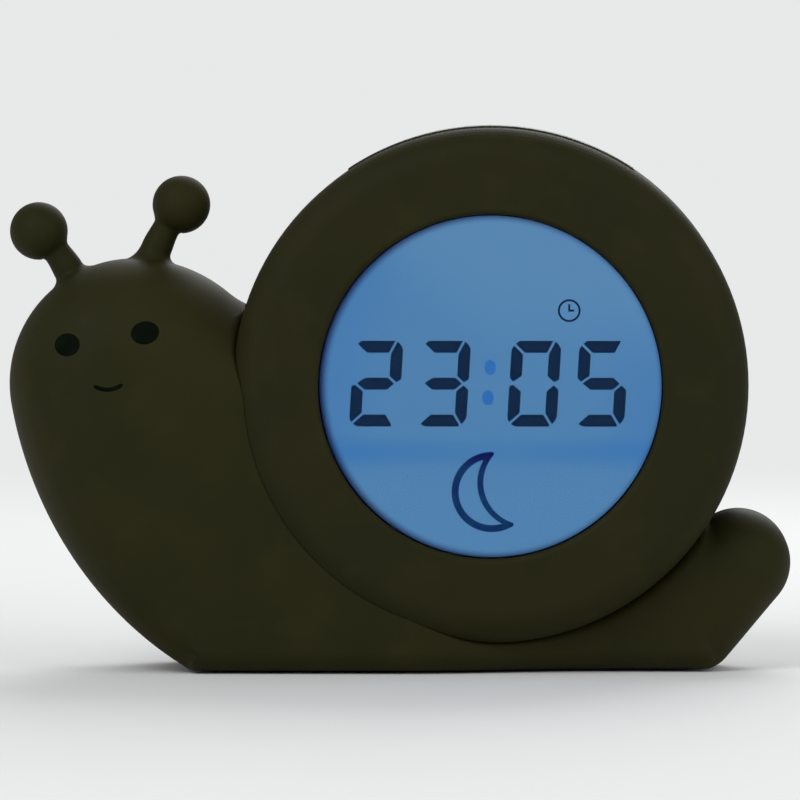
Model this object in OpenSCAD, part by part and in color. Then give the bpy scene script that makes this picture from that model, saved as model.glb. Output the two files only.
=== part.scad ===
// Snail-shaped alarm clock with a night light, in millimetres.
// Frame: X to the right and Z up as the display is read, Y to the back. The origin is on the
// surface that the clock stands on, below the middle of its outline.
// A round drum holds the works. The two halves of the snail's body close around it.

/* [Drum] */
// Radius of the drum
drum_r = 55.7; // [54:0.1:58]
// Distance of the drum's axis to the right of the middle
drum_x = 19.9; // [17:0.1:23]
// Height of the drum's lowest line over the body's base
drum_lift = 6; // [5:0.1:8]
// Depth of the drum, front to back
drum_depth = 50; // [48:0.5:60]
// Rounding of the drum's front edge
front_edge_r = 7; // [5:0.5:8]
// Rounding of the drum's rear edge
rear_edge_r = 5; // [4:0.5:6]
// Wall of the drum's mouldings
wall = 2.4; // [2:0.1:2.8]
// Depth of the front moulding, from its face to the joint with the rear cover
front_part_depth = 29; // [27:0.5:31]

/* [Display] */
// Width of the ring around the round opening over the display
ring_w = 18.55; // [17:0.05:20]
// Distance from the drum's face back to the window
window_recess = 1.4; // [1:0.1:1.6]
// Width of the shoulder that the window rests against
window_shoulder = 2.4; // [2:0.1:2.8]
// Thickness of the clear window
window_t = 1.5; // [1:0.1:2]
// Thickness of the black gasket behind the window
gasket_t = 0.6; // [0.4:0.1:1]
// Overlap of the gasket inside the opening
gasket_lap = 0.3; // [0.1:0.1:1]
// Thickness of the liquid-crystal cell
lcd_t = 2.8; // [2:0.1:3.4]
// Thickness of the light guide
guide_t = 3; // [2:0.1:4]
// Height of a digit
digit_h = 18.5; // [14:0.05:20]
// Width of a digit
digit_w = 10.7; // [8:0.05:11.4]
// Width of a digit's segment
segment_w = 2.58; // [1.6:0.02:2.8]
// Gap between two segments
segment_gap = 0.52; // [0.3:0.02:0.8]
// Lean of the digits to the right, in degrees
digit_lean = 3.5; // [0:0.1:8]
// Thickness in which a dark segment is drawn
ink_t = 0.12; // [0.08:0.01:0.2]

/* [Snail outline] */
// Centre of the head, to the right of the middle
head_x = -58; // [-60:0.5:-56]
// Centre of the head, over the base
head_z = 61.6; // [59:0.1:66]
// Radius of the head
head_r = 27; // [25.5:0.5:27.5]
// Radius of the brow, from the top of the head to the drum
brow_r = 32; // [30:0.5:34]
// Radius of the long curve from the head down to the base
flank_r = 83.5; // [80:0.1:93]
// Direction from the head's centre in which the flank starts, in degrees
flank_start = 190.2; // [188:0.1:192]
// Radius of the corner between flank and base
toe_r = 4.2; // [3:0.1:6]
// Radius of the corner between base and tail
heel_r = 6.4; // [3:0.1:8]
// Centre of the tail's round end, to the right of the middle
tail_x = 73.7; // [72:0.1:75]
// Centre of the tail's round end, over the base
tail_z = 22.8; // [21:0.1:26]
// Radius of the tail's round end
tail_r = 11.3; // [10.5:0.1:12.5]
// Angle between the sole and the tail's straight edge, in degrees
tail_slope = 49.5; // [45:0.5:55]

/* [Snail body] */
// Depth of the head and belly, front to back
body_depth = 46.8; // [44:0.2:47.4]
// Depth of the tail, front to back
tail_depth = 31; // [28:0.5:36]
// Start of the stretch in which the body narrows to the tail, right of the middle
narrowing_start = 0; // [-10:1:10]
// End of that stretch
narrowing_end = 45; // [36:1:50]
// Rounding of the head's edge
head_edge = 21; // [16:0.5:22]
// Rounding of the flank's edge near the base
flank_edge = 8; // [6:0.5:12]
// Rounding of the edge along the base
base_edge = 4.5; // [3:0.5:6]
// Rounding of the tail's edge
tail_edge = 11; // [8:0.5:12]
// Largest rounding of the body's lip beside the drum, at the tail
lip_r = 2.6; // [0.6:0.1:3]
// Wall of the body's halves
body_wall = 2.2; // [1.6:0.1:2.6]
// Gap between the body and the drum
saddle_gap = 0.25; // [0.1:0.05:0.4]
// Thickness of the pad under the base
pad_t = 0.6; // [0.4:0.1:1.5]
// Length of the pad
pad_l = 96; // [60:1:98]
// Width of the pad
pad_w = 20; // [12:1:20]

/* [Feelers and face] */
// Radius of a feeler's ball
ball_r = 6.3; // [5:0.1:7]
// Length of a feeler from its foot to its bend
feeler_low_l = 6.5; // [4:0.1:8]
// Length of a feeler from its bend to the middle of its ball
feeler_high_l = 8.8; // [7:0.1:12]
// Radius of a feeler's stalk
stalk_r = 3; // [2.4:0.1:3.4]
// Radius of a feeler's foot
foot_r = 6; // [5:0.1:6.6]
// Width of an eye
eye_w = 6.1; // [5:0.1:7.5]
// Height of an eye
eye_h = 4.9; // [4.5:0.1:7]
// Distance between the middles of the eyes
eye_spread = 17.1; // [16:0.1:18]
// Tilt of the face, in degrees
face_tilt = 9; // [0:1:12]
// Radius of the smile
smile_r = 5.3; // [3.5:0.1:5.5]
// Width of the smile's line
smile_w = 0.8; // [0.6:0.05:1.2]

/* [Keys] */
// Distance from the drum's face back to the top key
key_setback = 8; // [8:0.5:9.5]
// Length of the top key along the drum's depth
top_key_l = 14; // [13:0.5:16]
// Half of the top key's width
top_key_half = 30.8; // [28:0.1:31]
// Height of the top key over the drum
top_key_proud = 0.4; // [0.2:0.05:0.8]
// Travel of the top key
top_key_travel = 0.8; // [0.5:0.05:1]
// Radius of a rear key
key_r = 4.2; // [3.6:0.1:4.4]
// Height of a rear key over the rear cover
key_proud = 0.8; // [0.6:0.05:1.2]
// Travel of a rear key
key_travel = 0.5; // [0.3:0.05:0.6]
// Distance from the drum's inner wall to the middles of the rear keys
key_inset = 16.6; // [16.4:0.1:17.5]
// Gap around a key
key_gap = 0.3; // [0.2:0.05:0.4]

/* [Batteries] */
// Radius of a cell
cell_r = 5.25; // [5:0.05:5.4]
// Length of a cell
cell_l = 44.5; // [43:0.5:45.5]
// Distance between the middles of two cells
cell_pitch = 11.2; // [11.2:0.1:11.5]
// Distance from the battery bay's lower corners to the drum's inner wall
bay_margin = 5; // [4.5:0.1:6]

/* [Hidden] */

$fn = 96;
fit = 0.15;          // gap around a piece that is dropped into its seat
loose = 0.3;         // gap around a piece that moves
overlap = 0.5;       // how far joined solids of one moulding run into each other
half = drum_depth / 2;
olive = [0.36, 0.36, 0.23];
board_green = [0.10, 0.35, 0.20];
milky = [0.72, 0.73, 0.70];

// ---------------------------------------------------------------- small functions

function dir(a) = [cos(a), sin(a)];
function lerp(a, b, t) = a + (b - a) * t;
function clamp(t) = max(0, min(1, t));
function smooth(t) = let (c = clamp(t)) c * c * (3 - 2 * c);
function arc(c, r, a0, a1, n) = [for (i = [0:n]) c + r * dir(lerp(a0, a1, i / n))];
// Where two circles meet, on the left going from the first centre to the second
function circles_meet(c1, r1, c2, r2) =
    let (d = norm(c2 - c1), u = (c2 - c1) / d, a = (r1 * r1 - r2 * r2 + d * d) / (2 * d))
    c1 + a * u + sqrt(r1 * r1 - a * a) * [-u.y, u.x];
function bearing(from, to) = atan2(to.y - from.y, to.x - from.x);
function turned_up(a, low) = a < low ? a + 360 : a;

// ---------------------------------------------------------------- snail's outline (x, z)

drum_z = drum_lift + drum_r;
drum_c = [drum_x, drum_z];
head_c = [head_x, head_z];
brow_c = head_c - [0, brow_r - head_r];
flank_c = head_c - (flank_r - head_r) * dir(flank_start);
toe_c = [flank_c.x - sqrt(pow(flank_r - toe_r, 2) - pow(flank_c.y - toe_r, 2)), toe_r];
tail_c = [tail_x, tail_z];
slope_a = 360 + tail_slope - 90;      // outward direction of the tail's straight edge
heel_c = [tail_x + (tail_r - heel_r - (heel_r - tail_z) * sin(slope_a)) / cos(slope_a), heel_r];
brow_end = circles_meet(brow_c, brow_r, drum_c, drum_r);
tail_end = circles_meet(drum_c, drum_r, tail_c, tail_r);
toe_a = turned_up(bearing(flank_c, toe_c), 180);
end_trim = 1.4;                       // the body stops this far before its sharp ends

// Stretches of the outline, counter-clockwise from the brow to the top of the tail:
// [first point's angle, last, centre, radius, steps, edge at first, at last]
brow_a = bearing(brow_c, brow_end) + end_trim / brow_r * 180 / PI;
tail_a = 360 + bearing(tail_c, tail_end) - end_trim / tail_r * 180 / PI;
drum_a = 180 / PI * end_trim / drum_r;
saddle = [
    turned_up(bearing(drum_c, brow_end), 0) + drum_a, 166.5, 187, 224, 227, 303, 308, 318,
    turned_up(bearing(drum_c, tail_end), 180) - drum_a
];

function stretch(points, edge0, edge1, s) =
    let (n = len(points) - 1)
    [for (i = [0:n - 1])
        [points[i].x, points[i].y, lerp(edge0, edge1, smooth(i / n)),
         lerp(saddle[s], saddle[s + 1], i / n)]];

function line(a, b, n) = [for (i = [0:n]) lerp(a, b, i / n)];

heel_top = heel_c + heel_r * dir(slope_a);
outline = concat(
    stretch(arc(brow_c, brow_r, brow_a, 90, 6), head_edge, head_edge, 0),
    stretch(arc(head_c, head_r, 90, flank_start, 13), head_edge, head_edge, 1),
    stretch(arc(flank_c, flank_r, flank_start, toe_a, 8), head_edge, flank_edge, 2),
    stretch(arc(toe_c, toe_r, toe_a, 270, 3), flank_edge, base_edge, 3),
    stretch(line([toe_c.x, 0], [heel_c.x, 0], 14), base_edge, base_edge, 4),
    stretch(arc(heel_c, heel_r, 270, slope_a, 3), base_edge, flank_edge, 5),
    stretch(line(heel_top, tail_c + tail_r * dir(slope_a), 2), flank_edge, tail_edge, 6),
    stretch(arc(tail_c, tail_r, slope_a, tail_a, 9), tail_edge, tail_edge, 7),
    [concat(tail_c + tail_r * dir(tail_a), [tail_edge, saddle[8]])]
);
last = len(outline) - 1;
function at(i) = [outline[i].x, outline[i].y];

// ---------------------------------------------------------------- body's surface

function body_half(x) =
    lerp(body_depth, tail_depth,
         smooth((x - narrowing_start) / (narrowing_end - narrowing_start))) / 2;

// Distance from a point to the outline, and the edge's rounding there
function nearest(p) =
    let (all = [for (i = [0:last - 1])
            let (a = at(i), ab = at(i + 1) - a, t = clamp((p - a) * ab / (ab * ab)))
            [norm(p - a - ab * t), lerp(outline[i][2], outline[i + 1][2], t)]],
         least = min([for (d = all) d[0]]))
    [for (d = all) if (d[0] == least) d][0];

// How far the surface stands in front of the middle plane; t is a depth under the surface
function skin_depth(p, t = 0) =
    let (n = nearest(p), e = n[1], h = body_half(p.x))
    n[0] >= e ? h - t : h - e + sqrt(max(0, pow(e - t, 2) - pow(e - n[0], 2)));

// Radius of the drum at a distance y from its middle plane
function drum_at(y, edge) =
    y <= half - edge ? drum_r
                     : drum_r - edge + sqrt(max(0, edge * edge - pow(y - half + edge, 2)));

function inward(i) =
    let (d = at(min(i + 1, last)) - at(max(i - 1, 0))) [-d.y, d.x] / norm(d);

edge_steps = 6;
flat_steps = 2;
saddle_steps = 5;
lip_share = 0.3;               // the lip's rounding by how far the drum stands out over the body
strip = edge_steps + flat_steps + saddle_steps + 4;

// One section of a body half: points [x, depth, z] over the skin, then back inside it
function section(i, drum_edge) =
    let (
        p = at(i), e = outline[i][2], r = dir(outline[i][3]),
        top = skin_depth(drum_c + (drum_r + 1) * r),
        near_l = norm(drum_c + drum_r * r - p),
        lip = min(lip_r, lip_share * (half - top), 0.3 * near_l),
        lip_rad = drum_at(top - lip, drum_edge) + saddle_gap,
        goal = drum_c + (lip_rad + lip) * r, l = norm(goal - p), u = (goal - p) / l,
        slant = max(0.35, u * inward(i)), t = min(body_wall, 0.25 * l),
        reach = min(e / slant, 0.85 * l), start = t / slant,
        low = min(half - drum_edge, 0.8 * (top - lip)),
        outer_rad = drum_r + saddle_gap, side = body_half(p.x) - e,
        skin_s = concat([for (j = [0:edge_steps]) reach * (1 - cos(90 * j / edge_steps))],
                        [for (k = [1:flat_steps]) lerp(reach, l, k / flat_steps)]),
        core_s = concat(
            [for (j = [0:edge_steps]) lerp(start, reach, 1 - cos(90 * j / edge_steps))],
            [for (k = [1:flat_steps]) lerp(reach, l - t, k / flat_steps)]),
        skin = concat(
            [[p.x, 0, p.y]],
            [for (s = skin_s) let (q = p + s * u) [q.x, skin_depth(q), q.y]],
            [let (q = drum_c + (lip_rad + 0.3 * lip) * r) [q.x, top - 0.3 * lip, q.y]],
            [for (k = [0:saddle_steps - 1])
                let (y = lerp(top - lip, low, k / (saddle_steps - 1)),
                     q = drum_c + (drum_at(y, drum_edge) + saddle_gap) * r) [q.x, y, q.y]],
            [let (q = drum_c + outer_rad * r) [q.x, 0, q.y]]),
        roof = skin_depth(p + (l - t) * u, t),
        core = concat(
            [let (q = p + start * u) [q.x, 0, q.y]],
            [for (s = core_s) let (q = p + s * u) [q.x, max(skin_depth(q, t), 0.4 * side), q.y]],
            [for (k = [1:saddle_steps + 2])
                let (y = min(low, roof - t) * (1 - (k - 1) / (saddle_steps + 1)),
                     q = drum_c + (outer_rad + t) * r) [q.x, y, q.y]]))
    [skin, core];

// A hollow half of the body: towards = -1 for the front, 1 for the rear
module body_half_shell(towards, drum_edge) {
    sections = [for (i = [0:last]) section(i, drum_edge)];
    n = len(sections[0][0]);
    ring = 2 * n;
    points = [for (s = sections) each concat(
        [for (q = s[0]) [q.x, towards * q.y, q.z]],
        [for (j = [n - 1:-1:0]) let (q = s[1][j]) [q.x, towards * q.y, q.z]])];
    walls = [for (i = [0:last - 1], j = [0:ring - 1])
        let (a = i * ring + j, b = i * ring + (j + 1) % ring)
        each [[a, b, b + ring], [a, b + ring, a + ring]]];
    function cap(base) = [for (j = [0:n - 2])
        let (a = base + j, b = base + j + 1, c = base + ring - 2 - j, d = base + ring - 1 - j)
        each [[a, c, b], [a, d, c]]];
    ends = concat(cap(0), [for (f = cap(last * ring)) [f[2], f[1], f[0]]]);
    faces = concat(walls, ends);
    translate([0, 0, pad_t])
        polyhedron(points, towards > 0 ? faces : [for (f = faces) [f[2], f[1], f[0]]]);
}

module body_front() {
    color(olive) body_half_shell(-1, front_edge_r);
}

module body_rear() {
    color(olive) body_half_shell(1, rear_edge_r);
}

// ---------------------------------------------------------------- feelers, face, pad

// Each feeler: the direction of its foot from the head's centre, how far the foot lies inside
// the head's radius, and the directions of its lower and its upper stretch
left_feeler = [121, 3, 110.7, 133.6];
right_feeler = [81.9, 1.4, 75.3, 54.5];
root_l = 3.2;          // length of a feeler's root in the wall of the head
flare_low = -1.2;      // the stalk widens to its foot from flare_high down to flare_low
flare_high = 3.6;
bend_more = 0.06;      // the bend is this much thicker than the stalk

module feeler(plan) {
    foot = head_c + (head_r - plan[1]) * dir(plan[0]);
    bend = foot + feeler_low_l * dir(plan[2]);
    ball = bend + feeler_high_l * dir(plan[3]);
    translate([foot.x, 0, foot.y + pad_t])
        rotate([0, 90 - plan[2], 0])
            rotate_extrude($fn = 64)
                polygon(concat(
                    [[0, -root_l], [foot_r, -root_l]],
                    [for (a = [0:15:90]) [foot_r - (foot_r - stalk_r) * sin(a),
                                          flare_high - (flare_high - flare_low) * cos(a)]],
                    [[stalk_r, feeler_low_l], [0, feeler_low_l]]));
    translate([bend.x, 0, bend.y + pad_t]) {
        sphere(r = stalk_r + bend_more, $fn = 64);
        rotate([0, 90 - plan[3], 0]) cylinder(r = stalk_r, h = feeler_high_l, $fn = 64);
    }
    translate([ball.x, 0, ball.y + pad_t]) sphere(r = ball_r, $fn = 64);
}

module feelers() {
    color(olive) {
        feeler(left_feeler);
        feeler(right_feeler);
    }
}

inlay_proud = 0.12;
inlay_sunk = 0.5;

// A thin inlay that follows the head's surface; rows is a grid of [x, z] points
module inlay(rows) {
    m = len(rows);
    n = len(rows[0]);
    top = [for (row = rows, p = row) [p.x, -skin_depth(p) - inlay_proud, p.y]];
    bottom = [for (row = rows, p = row) [p.x, -skin_depth(p) + inlay_sunk, p.y]];
    under = m * n;
    function quad(a, b, c, d) = [[a, b, c], [a, c, d]];
    sheet = [for (i = [0:m - 2], j = [0:n - 2])
        let (a = i * n + j) each quad(a, a + 1, a + n + 1, a + n)];
    far = (m - 1) * n;
    ends = [for (j = [0:n - 2])
        each concat(quad(j, j + under, j + 1 + under, j + 1),
                    quad(far + j + 1, far + j + 1 + under, far + j + under, far + j))];
    sides = [for (i = [0:m - 2])
        let (a = i * n, b = a + n, c = a + n - 1, d = b + n - 1)
        each concat(quad(b, b + under, a + under, a), quad(c, c + under, d + under, d))];
    lower = [for (f = sheet) [f[2] + under, f[1] + under, f[0] + under]];
    translate([0, 0, pad_t]) polyhedron(concat(top, bottom), concat(sheet, lower, ends, sides));
}

function turned(p, a) = [p.x * cos(a) - p.y * sin(a), p.x * sin(a) + p.y * cos(a)];

// An eye: rings of points around its middle, laid on the head
module eye_disc(c, w) {
    spokes = 24;
    rings = 3;
    disc = [for (j = [1:rings], i = [0:spokes - 1])
        let (a = 360 * i / spokes, f = j / rings / 2)
        c + turned([w * f * cos(a), eye_h * f * sin(a)], face_tilt)];
    flat = concat([c], disc);
    n = len(flat);
    top = [for (p = flat) [p.x, -skin_depth(p) - inlay_proud, p.y]];
    bottom = [for (p = flat) [p.x, -skin_depth(p) + inlay_sunk, p.y]];
    fan = [for (i = [0:spokes - 1]) [0, 1 + i, 1 + (i + 1) % spokes]];
    bands = [for (j = [0:rings - 2], i = [0:spokes - 1])
        let (a = 1 + j * spokes + i, b = 1 + j * spokes + (i + 1) % spokes)
        each [[a, a + spokes, b + spokes], [a, b + spokes, b]]];
    face = concat(fan, bands);
    rim = 1 + (rings - 1) * spokes;
    wall_f = [for (i = [0:spokes - 1])
        let (a = rim + i, b = rim + (i + 1) % spokes) each [[a, a + n, b + n], [a, b + n, b]]];
    under = [for (f = face) [f[2] + n, f[1] + n, f[0] + n]];
    translate([0, 0, pad_t]) polyhedron(concat(top, bottom), concat(face, under, wall_f));
}

eyes_at = [-5.05, 10.3];         // from the head's centre to the middle between the eyes
smile_at = [-4.75, 4.7];         // from the head's centre to the centre of the smile's arc
narrower = 0.91;                 // the left eye lies on the head's curve, so it looks narrower

module eyes() {
    color([0.09, 0.12, 0.10]) {
        eye_disc(head_c + eyes_at - eye_spread / 2 * dir(face_tilt), eye_w * narrower);
        eye_disc(head_c + eyes_at + eye_spread / 2 * dir(face_tilt), eye_w);
    }
}

module mouth() {
    smile_c = head_c + smile_at;
    smile_half = 36;       // degrees to each side of the lowest point
    smile_turn = 3;
    color([0.09, 0.12, 0.10])
        inlay([for (i = [0:14])
            let (a = 270 + smile_turn + lerp(-smile_half, smile_half, i / 14))
            [for (s = [-1, 0, 1]) smile_c + (smile_r - s * smile_w / 2) * dir(a)]]);
}

pad_x = 4;

module base_pad() {
    color([0.10, 0.10, 0.10])
        linear_extrude(pad_t) {
            translate([pad_x - pad_l / 2 + pad_w / 2, -pad_w / 2]) square([pad_l - pad_w, pad_w]);
            for (s = [-1, 1]) translate([pad_x + s * (pad_l - pad_w) / 2, 0]) circle(d = pad_w);
        }
}

// ---------------------------------------------------------------- drum: places along its axis

// In the drum's frame X is to the right, Y up, and Z comes out of the display.
module in_drum() {
    translate([drum_x, 0, drum_z + pad_t]) rotate([90, 0, 0]) children();
}

module around(r, angles) {
    for (a = angles) rotate(a) translate([r, 0, 0]) rotate(-a) children();
}

opening_r = drum_r - ring_w;
face_z = half;
window_z = face_z - window_recess;           // the window's front
plate_z = window_z - 1.2;                    // inner side of the front wall
gasket_z = window_z - window_t - gasket_t;
lcd_front = gasket_z;
guide_front = lcd_front - lcd_t;
holder_front = guide_front - guide_t;
holder_t = 1.6;
board_t = 1.6;
board_post = 4.5;
board_front = holder_front - holder_t - board_post;
seat_r = opening_r + window_shoulder;
holder_in_r = seat_r + fit;
holder_out_r = holder_in_r + 2.2;
board_r = holder_out_r - 1.5;
joint_z = face_z - front_part_depth;         // joint between front moulding and rear cover
joint_groove = 0.4;                          // chamfer of both at that joint
floor_z = -half + wall;                      // inner side of the rear wall
inner_r = drum_r - wall;
screw_ring_r = inner_r - 6.5;
screw_angles = [45, 135, 225, 315];
screw_r = 1.5;
screw_clear = 0.05;
post_r = 3.4;
thread_l = 11;                               // of the screws' holes in the front moulding
cover_post_r = post_r + 1;
holder_ring_r = inner_r - 7;
holder_angles = [30, 150, 270];
small_screw_r = 0.95;
small_head_r = 1.9;
small_head_h = 1.2;
small_screw_l = 5;

// A turned cup: outer radius, edge rounding, from z = low to z = high; groove is the chamfer
// around its open end
module cup(r, edge, low, high, groove = 0) {
    rotate_extrude($fn = 144) polygon(concat(
        [[0, low], [r - groove, low], [r, low + groove]],
        [for (a = [0:9:90]) [r - edge + edge * cos(a), high - edge + edge * sin(a)]],
        [[0, high]]));
}

// ---------------------------------------------------------------- front moulding

key_front = face_z - key_setback;
key_back = key_front - top_key_l;
bar_in = 7.8;                                // from the top key's ends to the light board's bars
bar_out = top_key_half - bar_in;
bar_w = 6;
light_board_y = holder_out_r + 0.4;
light_board_w = 12;
light_board_z = (key_front + key_back) / 2 - light_board_w / 2;
bar_h = 3.5;
light_mid_z = light_board_z + light_board_w / 2;

module shell_ring() {
    rim = 1.2;     // rounding of the opening's rim
    color(olive) in_drum() {
        difference() {
            cup(drum_r, front_edge_r, joint_z, face_z, joint_groove);
            cup(inner_r, front_edge_r - wall, joint_z - 1, plate_z);
            translate([0, 0, plate_z - 1]) cylinder(r = opening_r, h = 10);
            translate([0, 0, plate_z - 1]) cylinder(r = seat_r, h = window_z - plate_z + 1);
            rotate_extrude() difference() {
                translate([opening_r - 1, face_z - rim]) square([rim + 1, rim + 1]);
                translate([opening_r + rim, face_z - rim]) circle(r = rim, $fn = 32);
            }
            translate([-top_key_half - key_gap, inner_r * 0.68, key_back - key_gap])
                cube([2 * (top_key_half + key_gap), drum_r, top_key_l + 2 * key_gap]);
        }
        for (s = [-1, 1]) difference() {
            translate([s * (bar_out - bar_w / 2) - bar_w / 2, light_board_y - bar_h, light_board_z])
                cube([bar_w, bar_h, plate_z + overlap - light_board_z]);
            translate([s * (bar_out - bar_w / 2), light_board_y + 1, light_mid_z])
                rotate([90, 0, 0]) cylinder(r = small_screw_r + screw_clear, h = bar_h);
        }
        around(screw_ring_r, screw_angles) difference() {
            translate([0, 0, joint_z]) cylinder(r = post_r, h = plate_z + overlap - joint_z);
            translate([0, 0, joint_z - 1]) cylinder(r = screw_r + screw_clear, h = thread_l + 1);
        }
        around(holder_ring_r, holder_angles) difference() {
            translate([0, 0, holder_front]) cylinder(r = 3, h = plate_z + overlap - holder_front);
            translate([0, 0, holder_front - 1]) cylinder(r = small_screw_r + screw_clear, h = 6);
        }
    }
}

// ---------------------------------------------------------------- display stack

module disc_at(z, r, t) {
    translate([0, 0, z]) cylinder(r = r, h = t);
}

module display_window() {
    color([0.75, 0.85, 0.95, 0.35]) in_drum() disc_at(window_z - window_t, seat_r - fit, window_t);
}

module display_gasket() {
    color([0.03, 0.03, 0.04]) in_drum() difference() {
        disc_at(gasket_z, seat_r - fit, gasket_t);
        disc_at(gasket_z - 1, opening_r - gasket_lap, gasket_t + 2);
    }
}

module lcd_glass() {
    color([0.35, 0.54, 0.70]) in_drum() disc_at(guide_front, seat_r - fit, lcd_t);
}

strip_room = 5.5;               // left free under the light guide for the strip
guide_cut = seat_r - strip_room;

module light_guide() {
    color([0.9, 0.93, 0.95]) in_drum() intersection() {
        disc_at(holder_front, seat_r - fit, guide_t);
        translate([-drum_r, -guide_cut, holder_front - 1]) cube([2 * drum_r, 2 * drum_r, guide_t + 2]);
    }
}

ink = [0.07, 0.16, 0.33];
ink_z = lcd_front;

function leaned(p) = [p.x + p.y * tan(digit_lean), p.y];

// A convex polygon whose sides have moved in by d; its points run counter-clockwise
function inset(shape, d) =
    let (n = len(shape))
    [for (i = [0:n - 1])
        let (a = shape[(i + n - 1) % n], b = shape[i], c = shape[(i + 1) % n],
             u = (b - a) / norm(b - a), v = (c - b) / norm(c - b))
        b + d * (v - u) / cross(u, v)];

// The cells of a digit's seven segments, a to g. Neighbours share sides, which half of the gap
// moves in later on. x is measured from the digit's left side, y from its mid height.
function cells() =
    let (
        d = segment_gap / 2, w = digit_w, h = digit_h / 2, m = segment_w / 2 + d,
        left = -d, right = w + d, top = h + d,
        near = segment_w + d, far = w - near, high = h - near,
        joint_l = [0.75, 0.1], joint_r = [w - 1.1, 0],
        top_l = [0.45, h - 0.6], top_r = [w - 1.35, top],
        foot_l = [0.35, 0.5 - h])
    [
        [[near, high], [far, high], top_r, [1.6, top], top_l],
        [[far, m], joint_r, [right, 0.8], [right, h - 1.7], [w - 0.35, h - 0.65], top_r, [far, high]],
        [[far, -m], [far, -high], [w - 1.05, 0.08 - h], [w - 0.24, 0.98 - h], [right, 2 - h],
            [right, -1.25], joint_r],
        [[near, -high], foot_l, [1.85, -top], [w - 1.55, -top], [w - 1.2, 0.32 - h], [far, -high]],
        [[near, -m], joint_l, [left, -0.45], [left, 1.8 - h], foot_l, [near, -high]],
        [[near, m], [near, high], top_l, [left, h - 1.9], [left, 1.2], joint_l],
        [joint_l, [near, -m], [far, -m], joint_r, [far, m], [near, m]]
    ];

// A digit out of its lit segments; x is its left side
module digit(x, lit) {
    shapes = cells();
    for (i = [0:6]) if (lit[i] == 1)
        linear_extrude(ink_t)
            polygon([for (p = inset(shapes[i], segment_gap / 2)) leaned([x + p.x, p.y])]);
}

digits_rise = 0.58;             // their mid height over the drum's axis
pair_gap = 3.88;                // between the two digits of a pair
colon_room = 8.78;              // between the two pairs
digits_left = -30;              // from the drum's axis to the first digit
pair_step = digit_w + pair_gap;
second_pair = digits_left + pair_step + digit_w + colon_room;
digit_shapes = [
    [1, 1, 0, 1, 1, 0, 1], [1, 1, 1, 1, 0, 0, 1], [1, 1, 1, 1, 1, 1, 0], [1, 0, 1, 1, 0, 1, 1]
];
digit_places = [digits_left, digits_left + pair_step, second_pair, second_pair + pair_step];

module digits() {
    color(ink) in_drum() translate([0, digits_rise, ink_z])
        for (i = [0:3]) digit(digit_places[i], digit_shapes[i]);
}

module colon() {
    dot = [2.5, 3.25];
    places = [[-0.09, 4.09], [-0.55, -2.43]];
    color([0.18, 0.43, 0.70]) in_drum() for (p = places) translate([p.x, p.y, ink_z])
        scale([dot.x / dot.y, 1, 1]) cylinder(d = dot.y, h = ink_t, $fn = 32);
}

moon_r = 8.66;
bite_r = 9.06;
bite_at = [7.25, 2.02];
moon_hole_r = 7.15;
hole_bite_r = 9.9;
hole_bite_at = [6.77, 1.94];
moon_at = [0.27, -22.8];
tip_r = 0.45;                    // rounding of the moon's tips
tip_over = 0.01;                 // its discs stand this much over the outline

// Middle of a disc of radius r that touches the moon's outline and its bite, towards the tip on side s
function tip_middle(s, r) =
    let (d = norm(bite_at), e = bite_at / d,
         a = (pow(moon_r - r, 2) - pow(bite_r + r, 2) + d * d) / (2 * d),
         h = sqrt(pow(moon_r - r, 2) - a * a))
    a * e + s * h * [-e.y, e.x];

// Middle between the two points where that disc touches
function tip_chord(c) =
    (moon_r * c / norm(c) + bite_at + bite_r * (c - bite_at) / norm(c - bite_at)) / 2;

module crescent() {
    room = 3;
    difference() {
        circle(r = moon_r);
        translate(bite_at) circle(r = bite_r);
        for (s = [-1, 1]) let (c = tip_middle(s, tip_r), m = tip_chord(c))
            translate(m) rotate(atan2(m.y - c.y, m.x - c.x))
                translate([0, -room / 2]) square([room, room]);
    }
    for (s = [-1, 1]) translate(tip_middle(s, tip_r)) circle(r = tip_r + tip_over, $fn = 32);
}

module moon_icon() {
    color([0.03, 0.14, 0.33]) in_drum() translate([moon_at.x, moon_at.y, ink_z])
        linear_extrude(ink_t) difference() {
            crescent();
            difference() {
                circle(r = moon_hole_r);
                translate(hole_bite_at) circle(r = hole_bite_r);
            }
        }
}

module clock_icon() {
    line_w = 0.45;
    r = 2.46;
    color(ink) in_drum() translate([16.95, 16.35, ink_z]) linear_extrude(ink_t) {
        difference() {
            circle(r = r);
            circle(r = r - line_w);
        }
        translate([-line_w / 2, -line_w / 2]) square([line_w, 1.6]);
        translate([-line_w / 2, -line_w / 2]) square([1.3, line_w]);
    }
}

strip_half = 10.7;
strip_t = 2;
strip_gap = 0.6;
strip_y = -guide_cut - strip_gap - strip_t;
led_in = 17.5;                   // from the window's edge to the lamps' circle
post_in = 5.5;                   // from the window's edge to the posts' circle
led_places = [for (a = [30:60:330]) (seat_r - led_in) * dir(a)];
post_places = [for (a = [45:90:315]) (seat_r - post_in) * dir(a)];

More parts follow.
